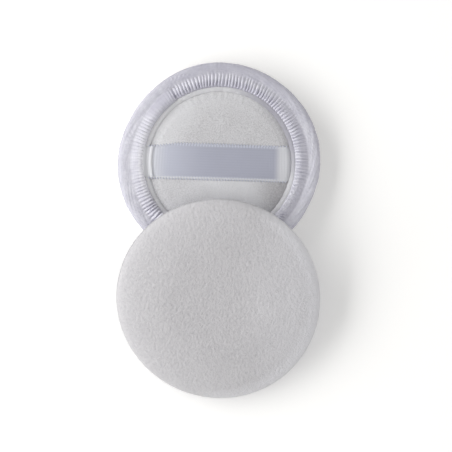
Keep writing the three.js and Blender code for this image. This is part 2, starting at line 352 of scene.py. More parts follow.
def gathered_ring_tree() -> Tree:
    """A cloth section turned round Z and drawn up into radial gathers.

    The section is a mesh of points (radius, 0, height) with these attributes:
    outward, the way the cloth faces; gather, how far the gathers reach there;
    roll, where faint wrinkles run on; hollow, the dip outside the gathers' crest;
    and crest, that crest and all inside it. What the ring does on a stretch of its
    way round has an angle, a width and an amount. The ring stores its painted shade
    as seam, and its painted light as edge.

    Returns:
        The geometry node tree.
    """
    sizes = (
        "Depth", "Spacing drift", "Depth drift", "Lean", "Middle radius", "Wrinkle", "Ragged",
        "Seed", "Cloth length", "Cloth width", "Seam shade", "Seam reach",
    )
    takes = {
        "Section": Slot.THING,
        **Slot.COUNT.each("Segments", "Rings", "Gathers"),
        **Slot.NUMBER.each(*sizes),
        **Slot.NUMBER.each(*(key for name in STRETCHES for key in stretch(name, 0, 0, 0))),
        "Finish": Slot.FINISH,
    }
    sketch = Sketch.group("Gathered ring", takes, GIVES_MESH)
    take = sketch.take
    cloth = sketch.out(
        "GeometryNodeMeshGrid",
        Size_X=1.0,
        Size_Y=1.0,
        Vertices_X=take("Segments") + 1,
        Vertices_Y=take("Rings"),
    )
    x, y, _ = sketch.here()
    turn, share = x + 0.5, y + 0.5
    row = sketch.math("ROUND", share * (take("Rings") - 1))
    section = sketch.add("GeometryNodeObjectInfo", Object=take("Section")).outputs["Geometry"]

    def on_section(value: Socket, kind: str = "FLOAT_VECTOR") -> Socket:
        """Reads a value at this row of the section."""
        settings = {"data_type": kind, "domain": "POINT"}
        return sketch.out(
            "GeometryNodeSampleIndex", settings, Geometry=section, Value=value, Index=row
        )

    def share_of(name: str) -> Field:
        """Reads one of the section's shares at this row."""
        return Field(sketch, on_section(sketch.named(name), "FLOAT"))

    radius, _, height = sketch.parts(on_section(sketch.out("GeometryNodeInputPosition")))
    outward = sketch.named("outward", "FLOAT_VECTOR")
    out_radius, _, out_height = sketch.parts(on_section(outward))
    gather, roll, hollow, crest = map(share_of, ("gather", "roll", "hollow", "crest"))
    angle = turn * TURN
    cosine, sine = angle.cos(), angle.sin()
    rim = sketch.vector(cosine, sine, take("Seed"))

    def window(middle: Field, width: Field) -> Field:
        """1 at an angle, falling to 0 a width away on both sides."""
        return (angle - middle).cos().smooth(width.cos(), 1.0)

    def near(name: str) -> Field:
        """1 in the middle of a named stretch, falling to 0 at its ends."""
        return window(take(f"{name} angle"), take(f"{name} width"))

    # How far the cloth sinks in its gathers, and rises in its tuck and its wrinkles
    tuck, slack, far = near("Tuck"), near("Slack"), near("Crest")
    drift = (sketch.noise(rim, 6.0) - 0.5) * take("Spacing drift") * (slack * 1.5 + 1.0)
    fold = ((turn * take("Gathers") + drift) * math.pi).sin().size() ** 0.6
    uneven = (sketch.noise(rim, 19.0, detail=0.0) - 0.5) * 2.0
    strength = uneven * take("Depth drift") + 1.0
    flatter = (1.0 - tuck * 0.85) * (1.0 - near("Ease") * take("Ease amount"))
    skewed = angle + share * 2.5
    slant = sketch.vector(skewed.cos() * 8.0, skewed.sin() * 8.0, share * 2.0 + take("Seed"))
    mottle = sketch.noise(slant, 4.2, detail=3.0).smooth(0.36, 0.64)
    loose = slack * take("Slack amount")
    shape = (1.0 - fold) * (1.0 - loose) + mottle * loose
    sunk = shape * strength * take("Depth") * gather * flatter
    crease_at = take("Tuck angle") - take("Tuck width") * 0.9
    crease = window(crease_at, take("Tuck width") * 0.16) * take("Depth") * gather
    along = sketch.vector(cosine * 3.0, sine * 3.0, share * 9.0 + take("Seed"))
    creases = sketch.noise(slant, 2.6, detail=3.0) * 1.4 + sketch.noise(along, 2.0) * 0.3
    wrinkle = (creases - 0.85) * roll * take("Wrinkle")
    lift = tuck * gather * take("Tuck amount") - sunk - crease + wrinkle

    # Where the points go, with gathers that lean and end raggedly
    wander = sketch.noise(rim, 2.2) - 0.5 + slack * 0.5
    offset = (radius - take("Middle radius")) / take("Middle radius")
    leaning = angle + offset * wander * take("Lean") * gather
    ragged = (sketch.noise(rim, 34.0, detail=1.0) - 0.5) * take("Ragged")
    reach = radius + out_radius * lift + ragged * gather**3.0
    place = sketch.vector(
        reach * leaning.cos(), reach * leaning.sin(), height + out_height * lift
    )

    # Painted shade and painted light. Shade goes on the roll's outer flank near the seam, in the
    # hollow on the Away stretch (the side turned from the key lamp), in the slack and dip
    # stretches, on the roll and crest along the Crest stretch, and in the tuck. Light goes on the
    # crest along the Pale stretch.
    seam_painted_shade = 1.0 - (share * take("Cloth width")).smooth(1.5, take("Seam reach"))
    turned_away = (near("Away") + slack * 0.6) * take("Away amount")
    painted_shade = hollow * (turned_away + near("Dip") * take("Dip amount")) + roll * far * 0.2
    painted_shade = painted_shade + (crest * far + hollow * tuck) * take("Crest amount")
    marks = {
        "UVMap": sketch.vector(turn * take("Cloth length"), share * take("Cloth width"), 0.0),
        # seam carries the painted shade, edge the painted light
        "seam": sketch.math("MAXIMUM", seam_painted_shade * take("Seam shade"), painted_shade),
        "edge": near("Pale") * take("Pale amount") * crest**4.0,
    }
    for name, value in marks.items():
        cloth = sketch.store(cloth, name, value)
    cloth = sketch.out("GeometryNodeSetPosition", Geometry=cloth, Position=place)
    return sketch.end(sketch.out("GeometryNodeMergeByDistance", Geometry=cloth, Distance=0.0005))


def plied_cord_tree() -> Tree:
    """A ring of cord laid up from three twisted plies.

    Returns:
        The geometry node tree.
    """
    takes = {
        **Slot.NUMBER.each("Radius", "Height", "Diameter"),
        **Slot.COUNT.each("Twists", "Steps"),
        "Finish": Slot.FINISH,
    }
    sketch = Sketch.group("Plied cord", takes, GIVES_MESH)
    take = sketch.take
    plies, sides = 3, 6
    lay = take("Diameter") * 0.27

    def circle(steps: Field | int, radius: Field) -> Socket:
        """A round curve."""
        settings = {"mode": "RADIUS"}
        return sketch.out(
            "GeometryNodeCurvePrimitiveCircle", settings, Resolution=steps, Radius=radius
        )

    path = circle(take("Steps"), take("Radius"))
    section = circle(sides, take("Diameter") * 0.25)
    x, y, _ = sketch.here()
    index = sketch.number("GeometryNodeInputIndex")
    joined = sketch.add("GeometryNodeJoinGeometry")
    for ply in range(plies):
        phase = index / take("Steps") * take("Twists") * TURN + ply * TURN / plies
        grown = 1.0 + phase.cos() * lay / take("Radius")
        spot = sketch.vector(x * grown, y * grown, take("Height") + phase.sin() * lay)
        moved = sketch.out("GeometryNodeSetPosition", Geometry=path, Position=spot)
        tube = sketch.out("GeometryNodeCurveToMesh", Curve=moved, Profile_Curve=section)
        sketch.put(joined.inputs[0], tube)
    return sketch.end(joined.outputs[0])


def ring_stitch_tree() -> Tree:
    """Slanted stitches of thread set evenly round a ring.

    Returns:
        The geometry node tree.
    """
    takes = {
        **Slot.NUMBER.each("Radius", "Height", "Length", "Thread", "Slant", "Unevenness"),
        **Slot.COUNT.each("Stitches", "Seed"),
        "Finish": Slot.FINISH,
    }
    sketch = Sketch.group("Ring of stitches", takes, GIVES_MESH)
    take = sketch.take
    ring = sketch.out("GeometryNodeMeshCircle", Vertices=take("Stitches"), Radius=take("Radius"))
    x, y, _ = sketch.here()
    spot = sketch.vector(x, y, take("Height"))
    raised = sketch.out("GeometryNodeSetPosition", Geometry=ring, Position=spot)
    bead = sketch.out("GeometryNodeMeshUVSphere", Segments=6, Rings=5, Radius=0.5)
    random = sketch.number(
        "FunctionNodeRandomValue", {"data_type": "FLOAT"}, Min=-1.0, Max=1.0, Seed=take("Seed")
    )
    jitter = random * take("Unevenness")
    turned = sketch.vector(take("Slant") + jitter, 0.0, sketch.math("ARCTAN2", y, x))
    length = take("Length") * (jitter * 0.6 + 1.0)
    set_in = sketch.out(
        "GeometryNodeInstanceOnPoints",
        Points=raised,
        Instance=bead,
        Rotation=sketch.out("FunctionNodeEulerToRotation", Euler=turned),
        Scale=sketch.vector(take("Thread"), take("Thread"), length),
    )
    return sketch.end(set_in)


def nap_tree() -> Tree:
    """Raises the napped surface of a cloth in small tufts that lie one way.

    Returns:
        The geometry node tree.
    """
    sizes = (
        "Tuft height", "Tuft size", "Lay angle", "Stretch", "Dent depth", "Dent size", "Seed"
    )
    takes = {"Cloth": Slot.MESH, **Slot.NUMBER.each(*sizes), "Finish": Slot.FINISH}
    sketch = Sketch.group("Brushed nap", takes, GIVES_MESH)
    take = sketch.take
    x, y, z = sketch.here()
    cosine, sine = take("Lay angle").cos(), take("Lay angle").sin()
    along = (x * cosine + y * sine) / take("Stretch")
    spot = sketch.vector(along, y * cosine - x * sine, z + take("Seed"))
    tufts = sketch.noise(spot, 1.0 / take("Tuft size"), roughness=0.6) - 0.5
    place = sketch.vector(x + take("Seed"), y, z)
    dents = sketch.noise(place, 1.0 / take("Dent size"), detail=1.0) - 0.5
    nap = Field(sketch, sketch.named("nap"))
    rise = (tufts * take("Tuft height") + dents * take("Dent depth")) * nap
    offset = sketch.scaled(sketch.out("GeometryNodeInputNormal"), rise)
    return sketch.end(
        sketch.out("GeometryNodeSetPosition", Geometry=take("Cloth"), Offset=offset)
    )


def selvedge_tree() -> Tree:
    """Adds the small loops of weft thread along a ribbon's woven edges.

    Returns:
        The geometry node tree.
    """
    takes = {
        "Cloth": Slot.MESH,
        "Edges": Slot.THING,
        **Slot.NUMBER.each("Pitch", "Loop length", "Loop width", "Map u", "Map v"),
        "Finish": Slot.FINISH,
    }
    sketch = Sketch.group("Woven edges", takes, GIVES_MESH)
    take = sketch.take
    edges = sketch.add("GeometryNodeObjectInfo", Object=take("Edges")).outputs["Geometry"]
    curves = sketch.out("GeometryNodeMeshToCurve", Mesh=edges)
    points = sketch.add(
        "GeometryNodeCurveToPoints", {"mode": "LENGTH"}, Curve=curves, Length=take("Pitch")
    )
    sphere = sketch.out("GeometryNodeMeshUVSphere", Segments=6, Rings=4, Radius=0.5)
    loop = sketch.store(sphere, "UVMap", sketch.vector(take("Map u"), take("Map v"), 0.0))
    tangent = socket_of(points.outputs, "Tangent")
    set_in = sketch.out(
        "GeometryNodeInstanceOnPoints",
        Points=points.outputs["Points"],
        Instance=loop,
        Rotation=sketch.out("FunctionNodeAlignRotationToVector", {"axis": "X"}, Vector=tangent),
        Scale=sketch.vector(take("Loop width"), take("Loop length"), take("Loop width")),
    )
    joined = sketch.add("GeometryNodeJoinGeometry")
    for mesh in (take("Cloth"), set_in):
        sketch.put(joined.inputs[0], mesh)
    return sketch.end(joined.outputs[0])


@dataclass
class Trees:
    """The geometry node trees, each built once."""

    gathers: Tree = field(default_factory=gathered_ring_tree)
    cord: Tree = field(default_factory=plied_cord_tree)
    stitches: Tree = field(default_factory=ring_stitch_tree)
    nap: Tree = field(default_factory=nap_tree)
    selvedge: Tree = field(default_factory=selvedge_tree)


def hold(name: str, data: bpy.types.ID) -> Thing:
    """A new object in the scene."""
    thing = bpy.data.objects.new(name, data)
    bpy.context.scene.collection.objects.link(thing)
    return thing


def grow(name: str, tree: Tree, values: dict[str, object], base: Mesh | None = None) -> Thing:
    """Runs a geometry tree and keeps its result as a plain mesh.

    Args:
        name: The new object's name.
        tree: The geometry node tree.
        values: What goes into the tree's named inputs.
        base: The mesh that the tree starts from, where it needs one.

    Returns:
        An object with the grown mesh and no modifier.
    """
    thing = hold(name, base or bpy.data.meshes.new(name))
    modifier = thing.modifiers.new("grow", "NODES")
    modifier.node_group = tree
    for item in tree.interface.items_tree:
        if item.item_type == "SOCKET" and item.in_out == "INPUT" and item.name in values:
            modifier[item.identifier] = values[item.name]
    bpy.context.view_layer.update()
    graph = bpy.context.evaluated_depsgraph_get()
    grown = bpy.data.meshes.new_from_object(
        thing.evaluated_get(graph), preserve_all_data_layers=True, depsgraph=graph
    )
    thing.modifiers.remove(modifier)
    thing.data = grown
    grown.name = name
    return thing


# Finishes


def linear(red: float, green: float, blue: float) -> tuple[float, float, float, float]:
    """A screen colour from 0 to 255 as the shader's linear colour."""

    def channel(value: float) -> float:
        """One channel."""
        v = value / 255
        return v / 12.92 if v <= 0.04045 else ((v + 0.055) / 1.055) ** 2.4

    return (channel(red), channel(green), channel(blue), 1.0)


class Pattern(Enum):
    """How a finish's surface is made."""

    NAP = "nap"
    SATIN = "satin"
    RIBBON = "ribbon"
    TAPE = "tape"
    FOAM = "foam"
    CARD = "card"
    THREAD = "thread"


@dataclass(frozen=True)
class Finish:
    """A material's colours and surface. Sizes are in millimetres."""

    name: str
    slot: str
    pattern: Pattern
    colour: Colour
    shade: Colour
    roughness: float
    grain: float
    bump: float
    sheen: float = 0.0
    sheen_roughness: float = 0.5
    specular: float = 0.5
    balance: float = 0.0
    drift: float = 0.4
    drift_size: float = 7.0
    translucence: float = 0.0
    # Painted shadow: how far its mask pushes the colour to the shade colour
    brushed: float = 0.0
    shine: float = 0.0
    index: float = 1.5
    # Colours that masks mix in: painted light and highlights; the ribbon's painted light towards
    # its left, which is also the colour of its woven edges; painted shade.
    pale: Colour = (255, 255, 255)
    bright: Colour = (255, 255, 255)
    seam: Colour | None = None
    lay: float = 45.0


FINISHES = {
    finish.name: finish
    for finish in (
        Finish(
            "velour", "velour", Pattern.NAP, (206, 204, 206), (195, 193, 196), 0.95, 0.84, 1.0,
            sheen=0.8, specular=0.1, pale=(240, 239, 243), seam=(150, 149, 153), lay=62.0,
        ),
        Finish(
            "felt", "velour", Pattern.NAP, (217, 216, 218), (174, 172, 175), 0.95, 0.36, 0.6,
            sheen=0.5, specular=0.1, brushed=0.5, pale=(228, 228, 230),
        ),
        Finish(
            "satin", "satin", Pattern.SATIN, (201, 200, 210), (165, 163, 179), 0.52, 0.22, 0.02,
            specular=0.95, balance=0.3, drift=1.6, drift_size=2.2, translucence=0.5,
            shine=0.85, index=2.0, seam=(140, 137, 157), pale=(243, 242, 247),
        ),
        Finish(
            "ribbon", "ribbon", Pattern.RIBBON, (174, 176, 190), (161, 163, 177), 0.4, 0.3, 0.03,
            sheen=0.1, sheen_roughness=0.4, translucence=0.3, pale=(231, 231, 233),
            bright=(207, 210, 223),
        ),
        Finish(
            "piping", "piping", Pattern.TAPE, (214, 214, 216), (190, 189, 195), 0.55, 0.3, 0.05,
            sheen=0.15, sheen_roughness=0.4, balance=0.3, drift=1.6, drift_size=3.0,
            translucence=0.6, pale=(246, 245, 248), seam=(146, 144, 155),
        ),
        Finish("foam", "foam", Pattern.FOAM, (232, 226, 212), (206, 196, 176), 0.9, 0.7, 0.3),
        Finish("card", "card", Pattern.CARD, (214, 206, 188), (188, 178, 158), 0.85, 0.5, 0.05),
        Finish(
            "thread", "thread", Pattern.THREAD, (214, 214, 220), (186, 186, 194), 0.55, 0.2, 0.06,
            sheen=0.1, sheen_roughness=0.4,
        ),
    )
}


def tone_drift_group() -> Tree:
    """Slow and fine changes between a cloth's colour and its shade."""
    takes = {
        **Slot.COLOUR.each("Colour", "Shade"),
        "Place": Slot.VECTOR,
        **Slot.NUMBER.each("Size", "Pattern", "Amount"),
    }
    sketch = Sketch.group("Tone drift", takes, {"Colour": Slot.COLOUR})
    take = sketch.take
    slow = sketch.noise(take("Place"), 1.0 / take("Size"), detail=3.0) - 0.5
    share = take("Pattern") + slow * take("Amount")
    sketch.give("Colour", sketch.mixed(share, take("Colour"), take("Shade")))
    return sketch.tree


def nap_group() -> Tree:
    """Fine napped fibres: their height, and a mask of the gaps between them."""
    takes = {"Place": Slot.VECTOR, **Slot.NUMBER.each("Size", "Lay", "Stretch")}
    sketch = Sketch.group("Nap", takes, Slot.NUMBER.each("Height", "Gaps"))
    take = sketch.take
    x, y, z = sketch.parts(take("Place"))
    cosine, sine = take("Lay").cos(), take("Lay").sin()
    along = (x * cosine + y * sine) / take("Stretch")
    spot = sketch.vector(along, y * cosine - x * sine, z)
    coarse = sketch.noise(spot, 1.0 / take("Size"), detail=4.0, roughness=0.65)
    fine = sketch.noise(take("Place"), 3.5 / take("Size"))
    height = coarse * 0.7 + fine * 0.3
    sketch.give("Height", height)
    sketch.give("Gaps", 1.0 - height.smooth(0.36, 0.58))
    return sketch.tree


def weave_group() -> Tree:
    """Woven threads along and across a cloth's own map, in millimetres."""
    takes = {"Map": Slot.VECTOR, **Slot.NUMBER.each("Pitch", "Float")}
    sketch = Sketch.group("Weave", takes, Slot.NUMBER.each("Height", "Gaps"))
    take = sketch.take
    u, v, _ = sketch.parts(take("Map"))
    warp = (u * math.pi / take("Pitch")).sin().size()
    weft = (v * math.pi / (take("Pitch") * take("Float"))).sin().size()
    slub = sketch.noise(take("Map"), 1.1)
    height = warp * 0.7 + weft * 0.3
    sketch.give("Height", height * (slub * 0.6 + 0.7))
    sketch.give("Gaps", 1.0 - height.smooth(0.1, 0.7))
    return sketch.tree


@dataclass
class Groups:
    """The shader groups that several finishes share, each built once."""

    drift: Tree = field(default_factory=tone_drift_group)
    nap: Tree = field(default_factory=nap_group)
    weave: Tree = field(default_factory=weave_group)


class Dye:
    """One finish on its way to a material."""

    def __init__(self, finish: Finish, groups: Groups) -> None:
        """Starts the material.

        Args:
            finish: The finish.
            groups: The shared shader groups.
        """
        self.finish = finish
        self.groups = groups
        self.material = bpy.data.materials.new(finish.name)
        self.material.use_nodes = True
        self.sketch = Sketch(self.material.node_tree)
        coordinates = self.sketch.add("ShaderNodeTexCoord")
        self.cloth_map = coordinates.outputs["UV"]
        self.place = self.sketch.scaled(coordinates.outputs["Object"], 1 / MM)

    def build(self) -> bpy.types.Material:
        """Sets up the shader.

        Returns:
            The material.
        """
        finish, sketch = self.finish, self.sketch
        shader = self.material.node_tree.nodes["Principled BSDF"]
        constants = {
            "Roughness": finish.roughness,
            "Specular IOR Level": finish.specular,
            "Sheen Weight": finish.sheen,
            "Sheen Roughness": finish.sheen_roughness,
            "Subsurface Weight": finish.translucence,
            "Subsurface Radius": (1.0, 1.0, 1.0),
            "Subsurface Scale": 1.2 * MM,
            "Anisotropic": finish.shine,
            "Anisotropic Rotation": 0.25,
            "IOR": finish.index,
        }
        for name, value in constants.items():
            shader.inputs[name].default_value = value
        if finish.shine:
            settings = {"direction_type": "UV_MAP", "uv_map": "UVMap"}
            sketch.put(shader.inputs["Tangent"], sketch.out("ShaderNodeTangent", settings))
        height, gaps = self.surface()
        sketch.put(shader.inputs["Base Color"], self.colour(gaps))
        bump = sketch.out(
            "ShaderNodeBump", Height=height, Strength=0.6, Distance=finish.bump * MM
        )
        sketch.put(shader.inputs["Normal"], bump)
        return self.material

    def mask(self, name: str) -> Field:
        """A number that the mesh carries."""
        node = self.sketch.add("ShaderNodeAttribute", {"attribute_name": name})
        return Field(self.sketch, node.outputs["Fac"])

    def mixed(self, mask: Field, colour: Socket, other: Colour) -> Socket:
        """Mixes a screen colour in where a mask is 1."""
        return self.sketch.mixed(mask, colour, linear(*other))

    def colour(self, gaps: Field | Socket) -> Socket:
        """The colour: the shade colour in the gaps, with painted shadow, painted light and painted
        shade laid on by masks.

        Args:
            gaps: The mask of the surface's low places.

        Returns:
            The colour's socket.
        """
        finish, sketch = self.finish, self.sketch
        share = sketch.math("ADD", gaps, finish.balance)
        if finish.brushed:
            wander = (sketch.noise(self.place, 0.12) - 0.5) * 0.3
            # Painted shadow where the mesh's mask says, over a little random wander
            share = share + wander + self.mask("brushed") * finish.brushed
        colour = sketch.out(
            "ShaderNodeGroup",
            {"node_tree": self.groups.drift},
            Colour=linear(*finish.colour),
            Shade=linear(*finish.shade),
            Place=self.place,
            Size=finish.drift_size,
            Pattern=share,
            Amount=finish.drift,
        )
        if finish.pattern is Pattern.RIBBON:
            colour = self.ribbon_colour(colour)
        elif finish.pattern in (Pattern.NAP, Pattern.TAPE, Pattern.SATIN):
            # Painted light where the mesh's edge mask says
            colour = self.mixed(self.mask("edge"), colour, finish.pale)
        if finish.seam is not None:
            # Painted shade where the mesh's seam mask says
            colour = self.mixed(self.mask("seam"), colour, finish.seam)
        return colour

    def ribbon_colour(self, colour: Socket) -> Socket:
        """Paints light on a ribbon towards its left and gives it paler woven edges, then paints
        highlights on its ends and a paler lower edge, partly painted light against the shade under
        it.
        """
        sketch = self.sketch
        u, v, _ = sketch.parts(self.cloth_map)
        # Painted light growing towards the ribbon's left; the ticks are its paler woven edges
        leftward = 0.0 - u
        ticks = (u * TURN).sin().smooth(-0.6, 0.8) * 0.6 + 0.3
        woven = (v - 0.1).size().smooth(4.9, 5.5) * ticks
        lit = sketch.math("MAXIMUM", leftward.smooth(3.0, 22.0) * 0.58, woven)
        colour = self.mixed(lit, colour, self.finish.bright)
        # Painted highlights on both ends, where they turn down, and a paler lower edge that is
        # partly painted light against the shade under it
        left = leftward.smooth(17.5, 23.0) * 0.4 + leftward.smooth(23.0, 23.5) * 0.34
        ends = sketch.math("MAXIMUM", u.smooth(18.4, 21.4) * 0.7, left)
        pale = sketch.math("MAXIMUM", ends, (0.0 - v).smooth(5.0, 5.7) * 0.75)
        return self.mixed(pale, colour, self.finish.pale)

    def surface(self) -> tuple[Field | Socket, Field | Socket]:
        """The height of the finish's surface, and a mask of its low places."""
        finish, sketch = self.finish, self.sketch
        if finish.pattern is Pattern.NAP:
            node = sketch.add(
                "ShaderNodeGroup",
                {"node_tree": self.groups.nap},
                Place=self.place,
                Size=finish.grain,
                Lay=math.radians(finish.lay),
                Stretch=1.2,
            )
            return node.outputs["Height"], node.outputs["Gaps"]
        if finish.pattern in (Pattern.SATIN, Pattern.RIBBON, Pattern.TAPE):
            node = sketch.add(
                "ShaderNodeGroup",
                {"node_tree": self.groups.weave},
                Map=self.cloth_map,
                Pitch=finish.grain,
                Float=1.0 if finish.pattern is Pattern.TAPE else 3.0,
            )
            return node.outputs["Height"], node.outputs["Gaps"]
        if finish.pattern is Pattern.FOAM:
            depth = sketch.number(
                "ShaderNodeTexVoronoi", Vector=self.place, Scale=1 / finish.grain
            )
            return depth, depth.smooth(0.2, 0.7)
        grain = sketch.noise(self.place, 1 / finish.grain, detail=5.0, roughness=0.7)
        return grain, grain.smooth(0.4, 0.7)


# Meshes


def mesh_of(name: str, points: np.ndarray, faces: list) -> Mesh:
    """A smooth mesh from its points and faces."""
    mesh = bpy.data.meshes.new(name)
    mesh.from_pydata(np.asarray(points, float).tolist(), [], faces)
    mesh.shade_smooth()
    return mesh


def points_of(mesh: Mesh) -> np.ndarray:
    """The points of a mesh, one in a row."""
    points = np.empty(len(mesh.vertices) * 3)
    mesh.vertices.foreach_get("co", points)
    return points.reshape(-1, 3)


def tag(mesh: Mesh, name: str, values: np.ndarray) -> None:
    """Stores a number at each point of a mesh."""
    mesh.attributes.new(name, "FLOAT", "POINT").data.foreach_set(
        "value", np.asarray(values, np.float32)
    )


def smooth_step(values: np.ndarray, low: float, high: float) -> np.ndarray:
    """Rises smoothly from 0 at low to 1 at high."""
    share = np.clip((np.asarray(values, float) - low) / (high - low), 0.0, 1.0)
    return share * share * (3 - 2 * share)


def turned(radius: np.ndarray, heading: np.ndarray, height: np.ndarray) -> np.ndarray:
    """Points at a radius, a heading and a height."""
    return np.column_stack([radius * np.cos(heading), radius * np.sin(heading), height])


def run_of(line: np.ndarray) -> np.ndarray:
    """The length of a line up to each of its points."""
    return np.concatenate([[0], np.cumsum(np.linalg.norm(np.diff(line, axis=0), axis=1))])


def through(keys: list[tuple[float, float]], steps: int) -> np.ndarray:
    """A smooth line through key points, in even steps of its length.

    Args:
        keys: The points it passes through.
        steps: How many points it gets.

    Returns:
        The points, one in a row.
    """
    points = np.array(keys, float)
    padded = np.vstack([2 * points[0] - points[1], points, 2 * points[-1] - points[-2]])
    s = np.linspace(0, 1, 24, endpoint=False)[:, None]
    fine = []
    for a, b, c, d in zip(padded, padded[1:], padded[2:], padded[3:]):
        bend = (2 * a - 5 * b + 4 * c - d) * s**2 + (3 * b - a - 3 * c + d) * s**3
        fine.append(0.5 * (2 * b + (c - a) * s + bend))
    line = np.vstack([*fine, points[-1:]])
    lengths = run_of(line)
    wanted = np.linspace(0, lengths[-1], steps)
    return np.column_stack([np.interp(wanted, lengths, column) for column in line.T])


def section_of(
    name: str, points: np.ndarray, facing: np.ndarray, **shares: np.ndarray
) -> Thing:
    """A cloth section for the gathered ring.

    Args:
        name: The object's name.
        points: Its radii and heights.
        facing: The way that the cloth faces at each point.
        shares: What else its points carry.

    Returns:
        The section's object.
    """
    flat = np.zeros(len(points))
    line = bpy.data.meshes.new(name)
    spread = np.column_stack([points[:, 0], flat, points[:, 1]])
    line.from_pydata(spread.tolist(), [(i, i + 1) for i in range(len(points) - 1)], [])
    outward = np.column_stack([facing[:, 0], flat, facing[:, 1]])
    line.attributes.new("outward", "FLOAT_VECTOR", "POINT").data.foreach_set(
        "vector", outward.astype(np.float32).ravel()
    )
    for key, values in shares.items():
        tag(line, key, values)
    return hold(name, line)


class RoundCloth:
    """A square net of cloth laid as a disc, so that it has no pole in its middle."""

    def __init__(self, count: int) -> None:
        """Lays out the net.

        Args:
            count: Points along each side of the net.
        """
        side = np.linspace(-1, 1, count)
        x, y = np.meshgrid(side, side, indexing="ij")
        wide = np.abs(x) >= np.abs(y)
        big = np.where(wide, x, y)
        small = np.where(wide, y, x)
        ratio = np.divide(small, big, out=np.zeros_like(big), where=big != 0)
        angle = np.where(wide, math.pi / 4 * ratio, QUARTER - math.pi / 4 * ratio)
        self.count = count
        self.share = np.abs(big).ravel()
        self.heading = np.arctan2((big * np.sin(angle)).ravel(), (big * np.cos(angle)).ravel())
        index = np.arange(count * count).reshape(count, count)
        corners = (index[:-1, :-1], index[1:, :-1], index[1:, 1:], index[:-1, 1:])
        self.faces = np.column_stack([corner.ravel() for corner in corners])
        edge = np.concatenate([index[0, :], index[-1, :], index[1:-1, 0], index[1:-1, -1]])
        self.edge = edge[np.argsort(self.heading[edge])]

    def lay(self, section: np.ndarray) -> np.ndarray:
        """Lays the net on a turned section from its axis to its edge.

        Args:
            section: Points of radius and height from the axis out.

        Returns:
            The net's points.
        """
        lengths = run_of(section)
        at = self.share * lengths[-1]
        radius, height = (np.interp(at, lengths, column) for column in section.T)
        return turned(radius, self.heading, height)

    def close(
        self, points: np.ndarray, section: np.ndarray, outward_up: bool
    ) -> tuple[np.ndarray, list[list[int]]]:
        """Closes the laid net with a turned wall from its edge back to the axis.

        Args:
            points: The net's points.
            section: Points of radius and height from near the edge in to the axis.
            outward_up: True where the net faces up.

        Returns:
            All the points, and all the faces.
        """
        heading = self.heading[self.edge]
        count = len(self.edge)
        rings = [self.edge]
        walls = [points]
        first = len(points)
        for radius, height in section[:-1]:
            walls.append(turned(radius, heading, np.full(count, height)))
            rings.append(np.arange(first, first + count))
            first += count
        walls.append(np.array([[0.0, 0.0, section[-1][1]]]))
        faces = self.faces.tolist()
        for a, b in zip(rings, rings[1:]):
            faces += np.column_stack([np.roll(a, -1), a, b, np.roll(b, -1)]).tolist()
        last = rings[-1]
        faces += [[int(n), int(m), first] for m, n in zip(last, np.roll(last, -1))]
        if not outward_up:
            faces = [face[::-1] for face in faces]
        return np.vstack(walls), faces

    def whole(self, values: np.ndarray, points: np.ndarray, rest: float) -> np.ndarray:
        """Values for the net's points, and one value for the walls' points after them."""
        return np.concatenate([values, np.full(len(points) - len(values), rest)])


def inflate(points: np.ndarray, cloth: RoundCloth, crown: float) -> np.ndarray:
    """Fills a velour face with Blender's cloth, its seam held fast.

    Args:
        points: The laid net, in millimetres.
        cloth: The net.
        crown: The furthest that a point may move, in millimetres.

    Returns:
        How far each point moved, in millimetres.
    """
    scale, steps = 0.01, 20
    thing = hold("filling", mesh_of("filling", points * scale, cloth.faces[:, ::-1].tolist()))
    seam = thing.vertex_groups.new(name="seam")
    seam.add([int(i) for i in np.flatnonzero(cloth.share > 0.985)], 1.0, "REPLACE")
    modifier = thing.modifiers.new("cloth", "CLOTH")
    settings = {
        "quality": 6,
        "mass": 0.2,
        "tension_stiffness": 25,
        "compression_stiffness": 25,
        "shear_stiffness": 10,
        "bending_stiffness": 8,
        "use_pressure": True,
        "uniform_pressure_force": 1.2,
        "shrink_min": -0.012,
        "vertex_group_mass": "seam",
    }
    for name, value in settings.items():
        setattr(modifier.settings, name, value)
    modifier.settings.effector_weights.gravity = 0
    modifier.collision_settings.use_collision = False
    scene = bpy.context.scene
    for step in range(1, steps + 1):
        scene.frame_set(step)
    filled = thing.evaluated_get(bpy.context.evaluated_depsgraph_get())
    shift = points_of(filled.to_mesh()) / scale - points
    filled.to_mesh_clear()
    scene.frame_set(1)
    bpy.data.objects.remove(thing)
    length = np.linalg.norm(shift, axis=1)
    LOG.info("  the filling moved a point %.2f mm at most", length.max())
    return shift * (np.minimum(length, crown) / np.maximum(length, 1e-9))[:, None]


# Puffs


